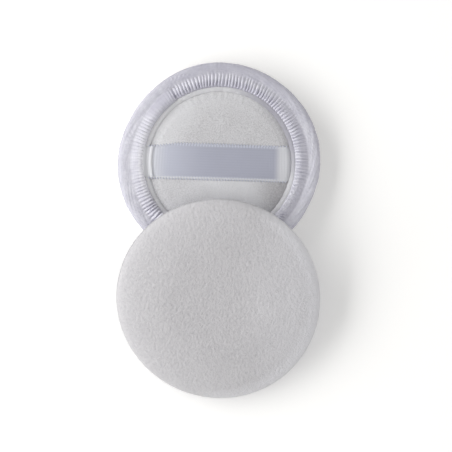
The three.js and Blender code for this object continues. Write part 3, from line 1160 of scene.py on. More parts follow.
@dataclass(frozen=True)
class Seat:
    """Where a puff lies in the row frame."""

    origin: Vector
    along: Vector
    across: Vector
    up: Vector

    @classmethod
    def of(cls, frame: dict, prefix: str) -> Seat:
        """Reads a puff's place from its press joint and its face.

        Args:
            frame: The loaded frame.
            prefix: The puff's name.

        Returns:
            The puff's seat.
        """
        joint = next(j for j in frame["joints"] if j["name"] == f"{prefix}_press")
        up = Vector(joint["axis"]).normalized()
        if joint["child"].endswith("back"):
            up.negate()
        along = Vector((math.copysign(1.0, up.z), 0.0, 0.0))
        across = up.cross(along)
        points = points_of(frame["nodes"][f"{prefix}_face_cover"].data)

        def middle(axis: Vector) -> float:
            """The middle of the face's extent along an axis."""
            extent = points @ np.array(axis)
            return (extent.min() + extent.max()) / 2

        base = (points @ np.array(up)).max() - SEAM_HEIGHT * MM
        origin = along * middle(along) + across * middle(across) + up * base
        return cls(origin, along, across, up)

    def matrix(self) -> Matrix:
        """Takes a puff's millimetres to the row frame."""
        turn = Matrix((self.along, self.across, self.up)).transposed().to_4x4()
        return Matrix.Translation(self.origin) @ turn @ Matrix.Scale(MM, 4)

    def point(self, x: float, y: float, z: float) -> Vector:
        """A point of the puff in the row frame."""
        return self.matrix() @ Vector((x, y, z))


@dataclass(frozen=True)
class Extent:
    """How far a CAD node reaches in its puff's own frame, in millimetres."""

    low: float
    high: float
    inner: float
    outer: float
    half_width: float

    @classmethod
    def of(cls, frame: dict, seat: Seat, node: str) -> Extent:
        """Measures a node.

        Args:
            frame: The loaded frame.
            seat: The puff's seat.
            node: The node's name.

        Returns:
            Its extent.
        """
        local = (points_of(frame["nodes"][node].data) - np.array(seat.origin)) / MM
        height = local @ np.array(seat.up)
        across = local @ np.array(seat.across)
        radius = np.hypot(local @ np.array(seat.along), across)
        return cls(height.min(), height.max(), radius.min(), radius.max(), np.abs(across).max())


class Side(Enum):
    """The two ends of a ribbon."""

    LEFT = -1
    RIGHT = 1


@dataclass(frozen=True)
class Nap:
    """A napped surface's tufts, the way they lie in degrees, and its dents, in millimetres."""

    tuft_height: float
    tuft_size: float
    lay: float
    stretch: float
    dent_depth: float
    dent_size: float

    def inputs(self, seed: float) -> dict[str, float]:
        """What goes into the nap's tree."""
        return {
            "Tuft height": self.tuft_height,
            "Tuft size": self.tuft_size,
            "Lay angle": math.radians(self.lay),
            "Stretch": self.stretch,
            "Dent depth": self.dent_depth,
            "Dent size": self.dent_size,
            "Seed": seed,
        }


@dataclass
class Workshop:
    """What every piece is made with."""

    frame: dict
    trees: Trees
    materials: dict[str, bpy.types.Material]


@dataclass
class Piece:
    """Common steps of a puff's pieces."""

    shop: Workshop
    seat: Seat
    prefix: str
    lobes: Lobes
    seed_shift: float

    def extent(self, node: str) -> Extent:
        """Measures one of this puff's nodes."""
        return Extent.of(self.shop.frame, self.seat, f"{self.prefix}_{node}")

    def grown(
        self,
        name: str,
        finish: str,
        tree: Tree,
        values: dict[str, object],
        base: Mesh | None = None,
    ) -> Thing:
        """Grows a piece in its finish, in the puff's own millimetres."""
        dressed = {**values, "Finish": self.shop.materials[finish]}
        return grow(f"{self.prefix}_{name}", tree, dressed, base)

    def napped(
        self,
        name: str,
        finish: str,
        shape: tuple[np.ndarray, list],
        brush: dict[str, float],
        **marks: np.ndarray,
    ) -> Thing:
        """Grows a napped piece.

        Args:
            name: The piece's name.
            finish: The finish's name.
            shape: Its points and faces.
            brush: What goes into the nap's tree.
            marks: What its points carry.

        Returns:
            The piece, in the puff's own millimetres.
        """
        mesh = mesh_of(f"{self.prefix}_{name}", *shape)
        for key, values in marks.items():
            tag(mesh, key, values)
        return self.grown(name, finish, self.shop.trees.nap, brush, mesh)

    def ringed(
        self, name: str, finish: str, section: Thing, values: dict[str, object]
    ) -> Thing:
        """Grows a gathered ring from its section, which is then removed."""
        ring = self.grown(name, finish, self.shop.trees.gathers, {**values, "Section": section})
        bpy.data.objects.remove(section)
        return ring

    def place(self, thing: Thing, finish: str) -> None:
        """Moves a finished mesh from the puff's own frame to the row frame."""
        self.settle(thing.data)
        thing.data.transform(self.seat.matrix())
        thing.data.update()
        if not thing.data.materials:
            thing.data.materials.append(self.shop.materials[finish])
        LOG.info("%s: %d faces", thing.name, len(thing.data.polygons))

    def settle(self, mesh: Mesh) -> None:
        """Draws a mesh's outer part in and out, as the soft puff lies a little out of round."""
        points = points_of(mesh)
        heading = np.arctan2(points[:, 1], points[:, 0])
        reach = np.hypot(points[:, 0], points[:, 1])
        drawn = sum(
            amount * np.cos(count * heading - math.radians(angle))
            for count, amount, angle in self.lobes
        )
        share = drawn * smooth_step(reach, SOFT_FROM, SOFT_TO) / np.maximum(reach, 1.0)
        points[:, :2] *= 1 + share[:, None]
        mesh.vertices.foreach_set("co", points.ravel())

    def hang(self, thing: Thing, finish: str, body: str, *nodes: str) -> None:
        """Places a piece and lets it ride on one of the puff's bodies in place of its nodes."""
        self.place(thing, finish)
        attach(thing, f"{self.prefix}_{body}")
        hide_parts(*(f"{self.prefix}_{node}" for node in nodes))

    def soften(self, thing: Thing, top: float) -> None:
        """Gives a piece its own copy of its mesh, after reading the puff's press travel.

        Args:
            thing: The piece.
            top: Not used. The height that comes down by the whole travel, in millimetres.
        """
        joint = next(j for j in self.shop.frame["joints"] if j["name"] == f"{self.prefix}_press")
        travel = max(joint["range_m"]) / MM
        tuple(self.seat.up)
        tuple(self.seat.origin)
        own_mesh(thing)


@dataclass
class VelourFace(Piece):
    """The velour cup that is dipped in the powder."""

    rests: bool = True
    shy: float = 0.3
    net: int = 250
    coarse_net: int = 61
    shoulder_run: float = 9.0
    wall: float = 1.2
    seam_tuck: float = 0.5
    seam_turn: float = 0.75
    least_swell: float = 0.9
    nap: Nap = Nap(0.24, 0.95, 62, 1.2, 0.22, 11.0)
    seed: float = 3.0

    def section(self, inset: float = 0.0) -> np.ndarray:
        """The face's section from its middle over the shoulder to the seam."""
        whole = self.extent("face_cover")
        edge = whole.outer - self.shy - inset
        flat = whole.outer - self.shoulder_run
        rise = whole.high - self.seam_turn
        arc = np.linspace(0, QUARTER, 40)
        middle = np.linspace(0, flat, 20)[:-1]
        radius = (
            middle,
            flat + (edge - flat) * np.sin(arc),
            edge - self.seam_tuck * (1 - np.cos(arc[1:])),
        )
        height = (
            np.full(len(middle), inset),
            inset + (rise - inset) * (1 - np.cos(arc)),
            rise + self.seam_turn * np.sin(arc[1:]),
        )
        return np.column_stack([np.concatenate(radius), np.concatenate(height)])

    def fill_out(self, cloth: RoundCloth, points: np.ndarray) -> np.ndarray:
        """Crowns the face by simulation on a coarse net and carries that to the fine one."""
        swell = max(-self.extent("face_cover").low, self.least_swell)
        coarse = RoundCloth(self.coarse_net)
        shift = inflate(coarse.lay(self.section()), coarse, swell)
        rings = (coarse.share * (coarse.count - 1) / 2).round().astype(int)
        spread = shift[:, 0] * np.cos(coarse.heading) + shift[:, 1] * np.sin(coarse.heading)
        means = [np.bincount(rings, part) / np.bincount(rings) for part in (spread, shift[:, 2])]
        levels = np.linspace(0, 1, len(means[0]))
        out, lift = (np.interp(cloth.share, levels, mean) for mean in means)
        lift *= swell / -lift.min()
        return points + turned(out, cloth.heading, lift)

    def marks(self, cloth: RoundCloth, points: np.ndarray) -> dict[str, np.ndarray]:
        """Where the pile stands up, and where light and shade are painted on it, the shade where it
        turns in to the seam.
        """
        share = cloth.share
        x, y = points[: len(share), 0], points[: len(share), 1]
        # Painted light: lighter towards the edge all round as a painted sheen, more so towards -X
        # and at the rim towards -X and a little -Y.
        leftward = -x / x.max()
        reach = np.hypot(x, y)
        toward = -(0.94 * x + 0.34 * y) / np.maximum(reach, 1.0)
        far = smooth_step(reach / reach.max(), 0.83, 0.97) * smooth_step(toward, -0.1, 0.5)
        ring = 0.155 * smooth_step(share, 0.45, 0.95)
        edge = np.maximum(ring, 0.46 * smooth_step(leftward, 0.1, 0.85) + 0.54 * far)
        # Painted shade: a dark line where the face turns in to the seam, left off towards -X.
        seam = smooth_step(share, 0.925, 0.975) * (1 - smooth_step(leftward, 0.2, 0.75))
        return {
            "nap": cloth.whole(1 - smooth_step(share, 0.94, 1.0), points, 0.0),
            "edge": cloth.whole(edge, points, 1.0),
            "seam": cloth.whole(seam, points, 1.0),
        }

    def build(self) -> None:
        """Makes, dresses and hangs the face."""
        cloth = RoundCloth(self.net)
        laid = self.fill_out(cloth, cloth.lay(self.section()))
        inside = np.vstack([self.section(self.wall)[::-1][::8], [[0.0, self.wall]]])
        shape = cloth.close(laid, inside, False)
        brush = self.nap.inputs(self.seed + self.seed_shift)
        face = self.napped("velour_face", "velour", shape, brush, **self.marks(cloth, shape[0]))
        if self.rests:
            self._rest(face.data)
        self.hang(face, "velour", "face", "face_cover")
        self.soften(face, self.extent("face_cover").high)

    @staticmethod
    def _rest(mesh: Mesh) -> None:
        """Flattens what would stand below the table."""
        points = points_of(mesh)
        points[:, 2] = np.maximum(points[:, 2], 0.0)
        mesh.vertices.foreach_set("co", points.ravel())
        mesh.update()


@dataclass
class FoamCore(Piece):
    """The foam inside the puff."""

    net: int = 70
    gap: float = 0.2
    shoulder_run: float = 7.0
    nap: Nap = Nap(0.1, 1.4, 0, 1.0, 0.05, 9.0)
    seed: float = 8.0

    def build(self) -> None:
        """Makes, dresses and hangs the core."""
        core, face = self.extent("core_pad"), self.extent("face_cover")
        bed = self.extent("stiffener_disc").low - self.gap
        recess = self.extent("satin_rim").inner + 0.9
        flat = core.outer - self.shoulder_run
        swell = -min(face.low, 0.0)
        base = core.low + swell
        arc = np.linspace(0, QUARTER, 24)
        middle = np.linspace(0, flat, 16)[:-1]
        radius = (middle, flat + (core.outer - flat) * np.sin(arc))
        height = (
            base - swell * (1 - (middle / flat) ** 2),
            base + (face.high - base) * (1 - np.cos(arc)),
        )
        under = np.column_stack([np.concatenate(radius), np.concatenate(height)])
        over = [
            (core.outer - 0.8, face.high + 0.9),
            (core.outer - 1.9, core.high - 0.5),
            (core.outer - 2.8, core.high),
            (recess + 0.5, core.high),
            (recess, core.high - 0.4),
            (recess, bed + 0.3),
            (recess - 0.4, bed),
            (recess / 2, bed),
            (0.0, bed),
        ]
        cloth = RoundCloth(self.net)
        shape = cloth.close(cloth.lay(under), np.array(over), False)
        brush = self.nap.inputs(self.seed + self.seed_shift)
        foam = self.napped("foam_core", "foam", shape, brush, nap=np.ones(len(shape[0])))
        self.hang(foam, "foam", "face", "core_pad")
        self.soften(foam, bed)


@dataclass
class GatheredRim(Piece):
    """The satin rim: a smooth roll outside, then radial gathers down to the piping.

    The roll's keys are how far in from the edge and how far up, as a share of the
    rise. The crest's keys are how far in from the edge and how far below the top.
    """

    gathers: int = 158
    per_gather: int = 8
    outer_rings: int = 46
    inner_rings: int = 11
    cloth: float = 0.42
    depth: float = 0.56
    drawn_in: float = 0.0
    gather_middle: float = 5.75
    strip_width: float = 13.5
    seed: float = 1.7
    roll: Keys = (
        (0.3, 0.04), (0.0, 0.25), (0.15, 0.46), (0.65, 0.64), (1.5, 0.73), (2.6, 0.755),
        (3.4, 0.75), (4.1, 0.75),
    )
    crest: Keys = (
        (4.6, 0.83), (5.2, 0.58), (5.9, 0.31), (6.6, 0.1), (7.2, 0.0), (7.7, 0.07), (8.1, 0.21),
        (8.5, 0.42), (8.8, 0.7), (9.0, 1.1), (9.05, 1.7),
    )

    def section(self) -> tuple[np.ndarray, np.ndarray, dict[str, np.ndarray]]:
        """The satin's section as a closed line.

        Returns:
            Its points, the way it faces, and what its points carry.
        """
        rim = self.extent("satin_rim")
        edge, seam, top = rim.outer + 0.1 - self.drawn_in, rim.low, rim.high - 0.05
        rise = top - seam
        keys = [
            (edge - 0.85, seam - 0.1),
            *((edge - inset, seam + share * rise) for inset, share in self.roll),
            *((edge - inset, top - drop) for inset, drop in self.crest),
        ]
        outer = through(keys, self.outer_rings)
        run = np.gradient(outer, axis=0)
        facing = np.column_stack([run[:, 1], -run[:, 0]])
        facing /= np.linalg.norm(facing, axis=1)[:, None]
        chosen = np.linspace(self.outer_rings - 1, 0, self.inner_rings).round().astype(int)
        inner = outer[chosen] - facing[chosen] * self.cloth
        points = np.vstack([outer, inner, outer[:1]])
        facing = np.vstack([facing, facing[chosen], facing[:1]])
        inset, height = edge - points[:, 0], points[:, 1]
        gather = 0.04 + 0.5 * smooth_step(inset, 3.8, 4.7) + 0.46 * smooth_step(inset, 4.6, 7.4)
        gather[height < seam + 0.3 * rise] = 0.0
        gather *= 1 - 0.6 * smooth_step(inset, 8.3, 8.8)
        shares = {
            "gather": gather,
            "roll": (1 - smooth_step(inset, 3.2, 4.6)) * smooth_step(height, seam, seam + 1.2),
            "hollow": smooth_step(inset, 3.9, 4.7) * (1 - smooth_step(inset, 6.2, 7.6)),
            "crest": smooth_step(inset, 5.8, 7.4),
        }
        return points, facing, shares

    def build(self) -> None:
        """Makes, dresses and hangs the rim."""
        points, facing, shares = self.section()
        edge = points[:, 0].max()
        step = np.linalg.norm(np.diff(points[: self.outer_rings], axis=0), axis=1).mean()
        values = {
            "Segments": self.gathers * self.per_gather,
            "Rings": len(points),
            "Gathers": self.gathers,
            "Depth": self.depth,
            "Spacing drift": 1.1,
            "Depth drift": 0.4,
            "Lean": 0.9,
            "Middle radius": edge - self.gather_middle,
            "Wrinkle": 0.55,
            "Ragged": 0.7,
            # Seam shade and the Away, Crest and Dip amounts are painted shade; the Pale amount is
            # painted light.
            "Seam shade": 0.45,
            "Seam reach": 4.8,
            "Seed": self.seed + self.seed_shift,
            "Cloth length": TURN * edge,
            "Cloth width": step * (len(points) - 1),
            **stretch("Tuck", 136, 15, 0.25),
            **stretch("Slack", -30, 24, 0.75),
            **stretch("Ease", 166, 48, 0.62),
            **stretch("Away", -4, 58, 0.42),
            **stretch("Crest", 85, 66, 0.6),
            **stretch("Dip", 204, 20, 0.24),
            **stretch("Pale", 180, 36, 0.4),
        }
        section = section_of("rim_section", points, facing, **shares)
        rim = self.ringed("gathered_rim", "satin", section, values)
        self.hang(rim, "satin", "back", "satin_rim")


@dataclass
class Piping(Piece):
    """The narrow piping between the gathers and the back disc, sloping up to the gathers."""

    segments: int = 540
    rings: int = 17
    inset: float = 0.5
    sink: float = 0.2
    half_width: float = 0.95
    half_depth: float = 0.5
    slope: float = 0.45
    seed: float = 5.2

    def build(self) -> None:
        """Makes, dresses and hangs the piping."""
        node = self.extent("piping")
        centre = (node.inner + node.outer) / 2 - self.inset
        height = (node.high + node.low) / 2 - self.sink
        turn = np.linspace(-QUARTER, 3 * QUARTER, self.rings)
        facing = np.column_stack([np.cos(turn), np.sin(turn)])
        points = facing * [self.half_width, self.half_depth]
        points[:, 1] += self.slope * points[:, 0]
        points += [centre, height]
        upper = smooth_step(facing[:, 1], -0.3, 0.6)
        values = {
            "Segments": self.segments,
            "Rings": self.rings,
            "Gathers": 84,
            "Depth": 0.09,
            "Spacing drift": 4.0,
            "Depth drift": 1.0,
            "Lean": 0.0,
            "Middle radius": centre,
            "Wrinkle": 0.2,
            "Seed": self.seed + self.seed_shift,
            "Cloth length": TURN * centre,
            "Cloth width": 4 * self.half_width,
            **stretch("Tuck", 130, 10, -0.2),
            **stretch("Slack", 40, 12, 0.75),
            # The Crest amount is painted shade on the piping, and the Pale amount painted light.
            **stretch("Crest", 32, 50, 0.6),
            **stretch("Pale", 165, 105, 0.8),
        }
        shares = {"gather": upper, "roll": upper, "crest": np.ones(len(points))}
        section = section_of("piping_section", points, facing, **shares)
        piping = self.ringed("piping_bead", "piping", section, values)
        self.hang(piping, "piping", "back", "piping")


@dataclass
class BackDisc(Piece):
    """The padded disc of felted cloth that the ribbon crosses."""

    net: int = 170
    plump: float = 0.45
    pucker: float = 0.05
    nap: Nap = Nap(0.26, 0.6, 30, 1.3, 0.25, 12.0)
    seed: float = 12.0

    def section(self) -> np.ndarray:
        """The disc's upper section, from its crown over its edge to its stitched margin."""
        cover, tab = self.extent("back_cover"), self.extent("ribbon_tab_left")
        edge = tab.inner + 1.4
        margin = cover.low + 0.4
        rim = cover.high - (self.extent("ribbon_span").high - tab.high) + self.plump
        peak = cover.high + 0.1
        inner = np.linspace(0, edge - 3.0, 12)
        dome = peak - (peak - rim) * (inner / (edge - 1.1)) ** 2
        fall = ((-2.2, 0.06), (-1.5, 0.17), (-0.8, 0.33), (-0.1, 0.52), (0.2, 0.66))
        keys = [
            *zip(inner, dome),
            *((edge + past, rim - drop) for past, drop in fall),
            (edge + 0.5, margin + 0.3),
            (edge + 0.9, margin + 0.03),
            (cover.outer - 0.3, margin),
        ]
        return through(keys, 160)

    def marks(self, cloth: RoundCloth, points: np.ndarray) -> dict[str, np.ndarray]:
        """Where the felt's nap stands up, and where light and shadow are painted on it."""
        share = cloth.share
        x, y = points[: len(share), 0], points[: len(share), 1]
        # Painted light on the upper (+Y) half: most towards -X near the edge and along the +Y edge,
        # and a little towards +X.
        upper = smooth_step(y, -8.0, 4.0)
        left = 0.8 * (1 - smooth_step(x, -13.0, 2.0)) * smooth_step(y, -12.0, 3.0)
        left *= smooth_step(share, 0.3, 0.85)
        lit = np.maximum(left, 0.22 + 0.3 * smooth_step(y, 14.0, 22.0)) * upper
        far = smooth_step(x, 4.0, 14.0) * (1 - smooth_step(share, 0.74, 0.84))
        lit = np.maximum(lit, 0.2 * far * upper)
        # Painted light below the ribbon (-Y), lifting the shade there.
        under_ribbon = (0.44 + 0.5 * smooth_step(x, -14.0, 2.0)) * smooth_step(-y, 4.0, 7.0)
        under_ribbon *= 1 - smooth_step(x, 8.0, 20.0)
        # Painted shade on the +X edge, and painted shadow on the lower +X quarter.
        edge_away = smooth_step(share, 0.82, 0.91) * smooth_step(x, 6.0, 20.0)
        brushed = np.maximum(smooth_step(x, 9.0, 24.0) * (1 - upper), edge_away)
        return {
            "nap": cloth.whole(1 - smooth_step(share, 0.9, 1.0), points, 0.0),
            "edge": cloth.whole(np.maximum(lit, under_ribbon), points, 1.0),
            "brushed": cloth.whole(brushed, points, 0.0),
        }

    def build(self) -> None:
        """Makes, dresses and hangs the disc."""
        cover = self.extent("back_cover")
        below = [
            (cover.outer, cover.low + 0.25),
            (cover.outer - 0.2, cover.low),
            (cover.outer / 2, cover.low),
            (0.0, cover.low),
        ]
        cloth = RoundCloth(self.net)
        laid = cloth.lay(self.section())
        wave = np.sin(64 * cloth.heading + 2.5 * np.sin(9 * cloth.heading))
        fade = smooth_step(cloth.share, 0.72, 0.92) * (1 - smooth_step(cloth.share, 0.93, 0.99))
        laid[:, 2] += self.pucker * wave * fade
        shape = cloth.close(laid, np.array(below), True)
        brush = self.nap.inputs(self.seed + self.seed_shift)
        disc = self.napped("back_disc", "felt", shape, brush, **self.marks(cloth, shape[0]))
        self.hang(disc, "felt", "back", "back_cover")


@dataclass
class FingerRibbon(Piece):
    """One half of the ribbon that the fingers go under, from its tucked end to mid span.

    The keys of the doubled end are how far past the span and how far above it.
    """

    side: Side = Side.LEFT
    pinch: float = 0.0
    along: int = 120
    across: int = 33
    thickness: float = 0.3
    widen: float = 0.2
    bow: float = 0.05
    raised: float = 0.3
    askew: float = math.radians(-1.8)
    held_at: float = 23.0
    free_at: float = 2.0
    doubled: Keys = (
        (4.05, 0.55), (3.85, 0.85), (3.4, 0.8), (2.8, 0.47), (2.25, 0.17), (1.75, 0.13),
        (1.25, 0.25), (0.8, 0.35), (0.5, 0.27), (0.3, 0.07), (0.05, -0.03), (-0.4, 0.02),
    )

    def path(self) -> np.ndarray:
        """The ribbon's middle line as distance from the axis and height, from its end in."""
        tab, span = self.extent("ribbon_tab_left"), self.extent("ribbon_span")
        end, reach = tab.outer, span.outer
        low = tab.low + self.thickness / 2 + 0.05
        base = tab.high - self.thickness / 2 + self.raised
        crown = span.high - self.thickness / 2 - base
        inner = np.linspace(reach - 1.2, 0, 12)
        dome = base + (crown + self.bow) * (1 - (inner / reach) ** 2)
        if self.side is Side.LEFT:
            start = [(reach + past, base + lift) for past, lift in self.doubled]
        else:
            start = [
                (end - 0.3, low + 0.55),
                (end - 0.8, low + 0.58),
                (end - 1.3, low + 0.68),
                (end - 1.75, base - 0.45),
                (end - 2.2, base - 0.18),
                (end - 2.7, base),
                (reach - 0.5, base + 0.05),
            ]
        return through([*start, *zip(inner, dome)], self.along)

    def build(self) -> None:
        """Makes, dresses and places this half, in place of its nodes."""
        path = self.path()
        half = self.extent("ribbon_span").half_width
        top, below = self._faces(path, half)
        mesh = self._strip(top, below)
        edges = self._edges((top + below) / 2)
        for lain in (mesh, edges.data):
            lain.transform(Matrix.Rotation(self.askew, 4, "Z"))
        end = self.side.name.lower()
        values = {
            "Edges": edges,
            "Pitch": 1.0,
            "Loop length": 0.95,
            "Loop width": 0.6,
            "Map u": 0.25,
            "Map v": half,
        }
        mesh.name = f"{self.prefix}_ribbon_{end}"
        tree = self.shop.trees.selvedge
        ribbon = self.grown(f"ribbon_{end}", "ribbon", tree, values, mesh)
        bpy.data.objects.remove(edges)
        self.place(ribbon, "ribbon")
        sign, height = self.side.value, path[-1, 1]
        self.seat.point(sign * self.held_at, 0, height)
        self.seat.point(sign * self.free_at, 0, height)
        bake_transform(ribbon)
        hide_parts(f"{self.prefix}_ribbon_span", f"{self.prefix}_ribbon_tab_{end}")
        run_of(path)[-1] * MM

    def _faces(self, path: np.ndarray, half: float) -> tuple[np.ndarray, np.ndarray]:
        """The points of the upper and the lower face, along and across the ribbon."""
        v = np.linspace(-1, 1, self.across)[None, :]
        out, up = path[:, :1], path[:, 1:]
        narrowed = self.pinch * smooth_step(out, 12.0, path[0, 0]) * np.maximum(v, 0)
        y = np.where(v > 0, v * (half + self.widen), v * half) - narrowed
        x = np.sqrt(np.maximum(out**2 - smooth_step(out, 14.0, 22.0) * y**2, 0.0))
        ripple = 0.03 * np.sin(6.6 * x + 0.3 * y) * smooth_step(out, 15.0, 22.0)
        middle = up + ripple - 0.36 * np.abs(v) ** 5
        hem = self.thickness / 2 * (1 - 0.55 * np.abs(v) ** 10)
        top, below = (
            np.stack([self.side.value * x, y, middle + lift], axis=2) for lift in (hem, -hem)
        )
        return top, below

    def _strip(self, top: np.ndarray, below: np.ndarray) -> Mesh:
        """The closed strip between its upper and lower faces, with its cloth map."""
        rows, columns = top.shape[:2]
        upper = np.arange(rows * columns).reshape(rows, columns)
        lower = upper + rows * columns
        faces = []
        for a, order in ((upper, 1), (lower, -1)):
            corners = (a[:-1, :-1], a[1:, :-1], a[1:, 1:], a[:-1, 1:])
            faces.append(np.stack(corners, axis=2).reshape(-1, 4)[:, ::order])
        walls = (
            (upper[:, 0], lower[:, 0]),
            (lower[:, -1], upper[:, -1]),
            (lower[0], upper[0]),
            (upper[-1], lower[-1]),
        )
        faces += [np.column_stack([a[1:], a[:-1], b[:-1], b[1:]]) for a, b in walls]
        quads = np.vstack(faces)[:, :: self.side.value]
        points = np.vstack([top.reshape(-1, 3), below.reshape(-1, 3)])
        mesh = mesh_of("ribbon", points, quads.tolist())
        mesh.set_sharp_from_angle(angle=math.radians(50))
        layer = mesh.uv_layers.new(name="UVMap")
        corners = np.empty(len(mesh.loops), np.int32)
        mesh.loops.foreach_get("vertex_index", corners)
        layer.data.foreach_set("uv", points[corners][:, :2].astype(np.float32).ravel())
        return mesh

    def _edges(self, middle: np.ndarray) -> Thing:
        """Lines along the ribbon's two woven edges, where they show."""
        points, pairs = [], []
        for column in (0, -1):
            line = middle[self.along // 12 :, column]
            first = len(points)
            points += line.tolist()
            pairs += [(first + i, first + i + 1) for i in range(len(line) - 1)]
        mesh = bpy.data.meshes.new("ribbon_edges")
        mesh.from_pydata(points, pairs, [])
        return hold("ribbon_edges", mesh)


@dataclass
class Threads(Piece):
    """The seam's stitches and the cord that draws the gathers in."""

    seam_stitches: int = 150
    twists: int = 48
    steps: int = 480
    seed: int = 4

    def build(self) -> None:
        """Makes, dresses and hangs the threads."""
        face, node = self.extent("face_cover"), self.extent("gather_cord")
        stitches = {
            "Radius": face.outer - 0.55,
            "Height": face.high + 0.05,
            "Stitches": self.seam_stitches,
            "Length": 1.1,
            "Thread": 0.28,
            "Slant": math.radians(35),
            "Unevenness": 0.12,
            "Seed": self.seed,
        }
        cord = {
            "Radius": (node.inner + node.outer) / 2,
            "Height": (node.low + node.high) / 2,
            "Diameter": node.high - node.low,
            "Twists": self.twists,
            "Steps": self.steps,
        }
        trees = self.shop.trees
        for name, tree, values, stood_for in (
            ("seam_stitches", trees.stitches, stitches, "seam_thread"),
            ("draw_cord", trees.cord, cord, "gather_cord"),
        ):
            self.hang(self.grown(name, "thread", tree, values), "thread", "back", stood_for)


@dataclass
class Puff:
    """One puff with all its pieces."""

    shop: Workshop
    prefix: str
    rests: bool
    shy: float
    drawn_in: float
    seed_shift: float
    lobes: Lobes

    def build(self) -> None:
        """Makes every piece of the puff."""
        seat = Seat.of(self.shop.frame, self.prefix)
        base = (self.shop, seat, self.prefix, self.lobes, self.seed_shift)
        VelourFace(*base, rests=self.rests, shy=self.shy).build()
        FoamCore(*base).build()
        GatheredRim(*base, drawn_in=self.drawn_in).build()
        Piping(*base).build()
        BackDisc(*base).build()
        FingerRibbon(*base, side=Side.LEFT, pinch=1.3).build()
        FingerRibbon(*base, side=Side.RIGHT).build()
        Threads(*base).build()
        self.dress_nodes()

    def dress_nodes(self) -> None:
        """Gives the nodes that stay their own finish."""
        for node, finish in (
            ("stiffener_disc", "card"),
            ("ribbon_tack_left", "thread"),
            ("ribbon_tack_right", "thread"),
        ):
            thing = self.shop.frame["nodes"][f"{self.prefix}_{node}"]
            thing.data.materials.clear()
            thing.data.materials.append(self.shop.materials[finish])
            LOG.info("%s keeps its solid, in %s", thing.name, finish)


# Studio


@dataclass(frozen=True)
class Lamp:
    """A soft lamp, aimed at the pair."""

    name: str
    azimuth: float
    elevation: float
    distance: float
    width: float
    height: float
    level: float

    def hang(self) -> None:
        """Hangs the lamp. Its level is the light on a table at the pair, where 1 is plain light."""
        turn, slope = math.radians(self.azimuth), math.radians(self.elevation)
        flat = math.cos(slope)
        way = Vector((flat * math.cos(turn), flat * math.sin(turn), math.sin(slope)))
        data = bpy.data.lights.new(self.name, "AREA")
        data.shape = "RECTANGLE"
        data.size = self.width
        data.size_y = self.height
        lamp = hold(self.name, data)
        lamp.location = way * self.distance
        lamp.rotation_euler = (-way).to_track_quat("-Z", "Y").to_euler()
        data.energy = self.level * math.pi**2 / self._reach(way, lamp.rotation_euler.to_matrix())

    def _reach(self, way: Vector, aimed: Matrix) -> float:
        """How well the lamp's face sees a small flat patch at the pair.

        Args:
            way: The direction from the pair to the lamp.
            aimed: The lamp's rotation.

        Returns:
            The mean over the face of the cosines at both ends over the distance squared.
        """
        steps = np.linspace(-0.5, 0.5, 12)
        total = 0.0
        for across in steps * self.width:
            for up in steps * self.height:
                spot = way * self.distance + aimed @ Vector((across, up, 0.0))
                total += max(spot.z, 0.0) * spot.dot(way) / spot.length**4
        return total / len(steps) ** 2


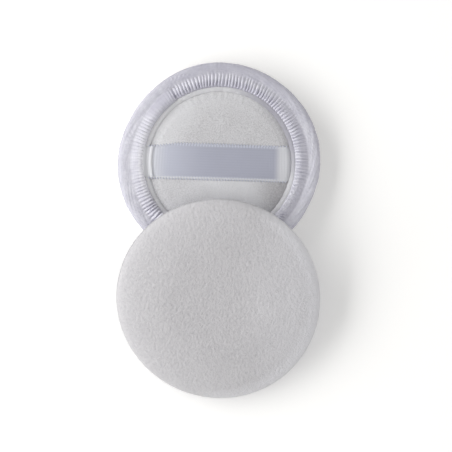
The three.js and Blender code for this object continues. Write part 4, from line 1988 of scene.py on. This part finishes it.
@dataclass
class Studio:
    """The white table, the light and the camera."""

    fill: float = 0.36
    lamps: tuple[Lamp, ...] = (
        Lamp("key", 174, 33, 0.75, 1.4, 0.46, 0.45),
        Lamp("return", -16, 30, 0.75, 0.5, 0.5, 0.09),
    )
    table: Colour = (0.93, 0.923, 0.905)
    table_half: float = 2.0
    table_drop: float = 0.00005
    lift: float = 0.215
    camera_place: tuple[float, float, float] = (0.0025, 0.0013, 0.5)
    camera_angle: float = math.radians(18.04)

    def build(self) -> None:
        """Sets up the table, the world, the lamps and the camera."""
        scene = bpy.context.scene
        scene.view_settings.view_transform = "Standard"
        self._table()
        self._world()
        for lamp in self.lamps:
            lamp.hang()
        data = bpy.data.cameras.new("camera")
        data.sensor_width = 36.0
        data.lens = data.sensor_width / 2 / math.tan(self.camera_angle / 2)
        camera = hold("camera", data)
        camera.location = self.camera_place
        scene.camera = camera

    @staticmethod
    def _seen(sketch: Sketch) -> Field:
        """1 for rays that show the background, which light the object no more for it."""
        path = sketch.add("ShaderNodeLightPath")
        rays = ("Is Camera Ray", "Is Glossy Ray", "Is Transmission Ray")
        camera, glossy, through_glass = (Field(sketch, path.outputs[name]) for name in rays)
        return sketch.math("MINIMUM", camera + glossy + through_glass, 1.0)

    def _table(self) -> None:
        """The white table under the pair."""
        half, low = self.table_half, -self.table_drop
        corners = [(-half, -half, low), (half, -half, low), (half, half, low), (-half, half, low)]
        mesh = mesh_of("table", np.array(corners), [[0, 1, 2, 3]])
        material = bpy.data.materials.new("table")
        material.use_nodes = True
        sketch = Sketch(material.node_tree)
        inputs = material.node_tree.nodes["Principled BSDF"].inputs
        inputs["Base Color"].default_value = (*self.table, 1)
        inputs["Roughness"].default_value = 0.9
        inputs["Specular IOR Level"].default_value = 0.0
        inputs["Emission Color"].default_value = (1, 1, 1, 1)
        sketch.put(inputs["Emission Strength"], self._seen(sketch) * self.lift)
        mesh.materials.append(material)
        hold("table", mesh)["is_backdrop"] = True

    def _world(self) -> None:
        """Plain white light from all round, which the camera sees as white."""
        world = bpy.data.worlds.new("studio")
        world.use_nodes = True
        sketch = Sketch(world.node_tree)
        inputs = world.node_tree.nodes["Background"].inputs
        inputs["Color"].default_value = (1, 1, 1, 1)
        sketch.put(inputs["Strength"], self._seen(sketch) * (1 - self.fill) + self.fill)
        bpy.context.scene.world = world


def main() -> None:
    """Builds the studio and both puffs, and measures the two boxes."""
    logging.basicConfig(level=logging.INFO, format="%(message)s")
    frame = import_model()
    solid_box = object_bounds()
    Studio().build()
    groups = Groups()
    materials = {name: Dye(finish, groups).build() for name, finish in FINISHES.items()}
    shop = Workshop(frame, Trees(), materials)
    flattened = ((0, -0.3, 0.0), (1, 0.27, -156.0), (2, 0.34, 72.0), (4, 0.22, 45.0))
    leaning = ((1, 0.3, 180.0), (2, 0.19, 92.0), (3, 0.08, 22.0))
    Puff(
        shop, "under", rests=True, shy=0.3, drawn_in=0.0, seed_shift=0.0, lobes=flattened
    ).build()
    Puff(
        shop, "over", rests=False, shy=0.1, drawn_in=0.7, seed_shift=20.0, lobes=leaning
    ).build()
    boxes = {"cad": solid_box, "visual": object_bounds()}
    json.dumps({name: [list(corner) for corner in box] for name, box in boxes.items()})


if __name__ == "__main__":
    main()
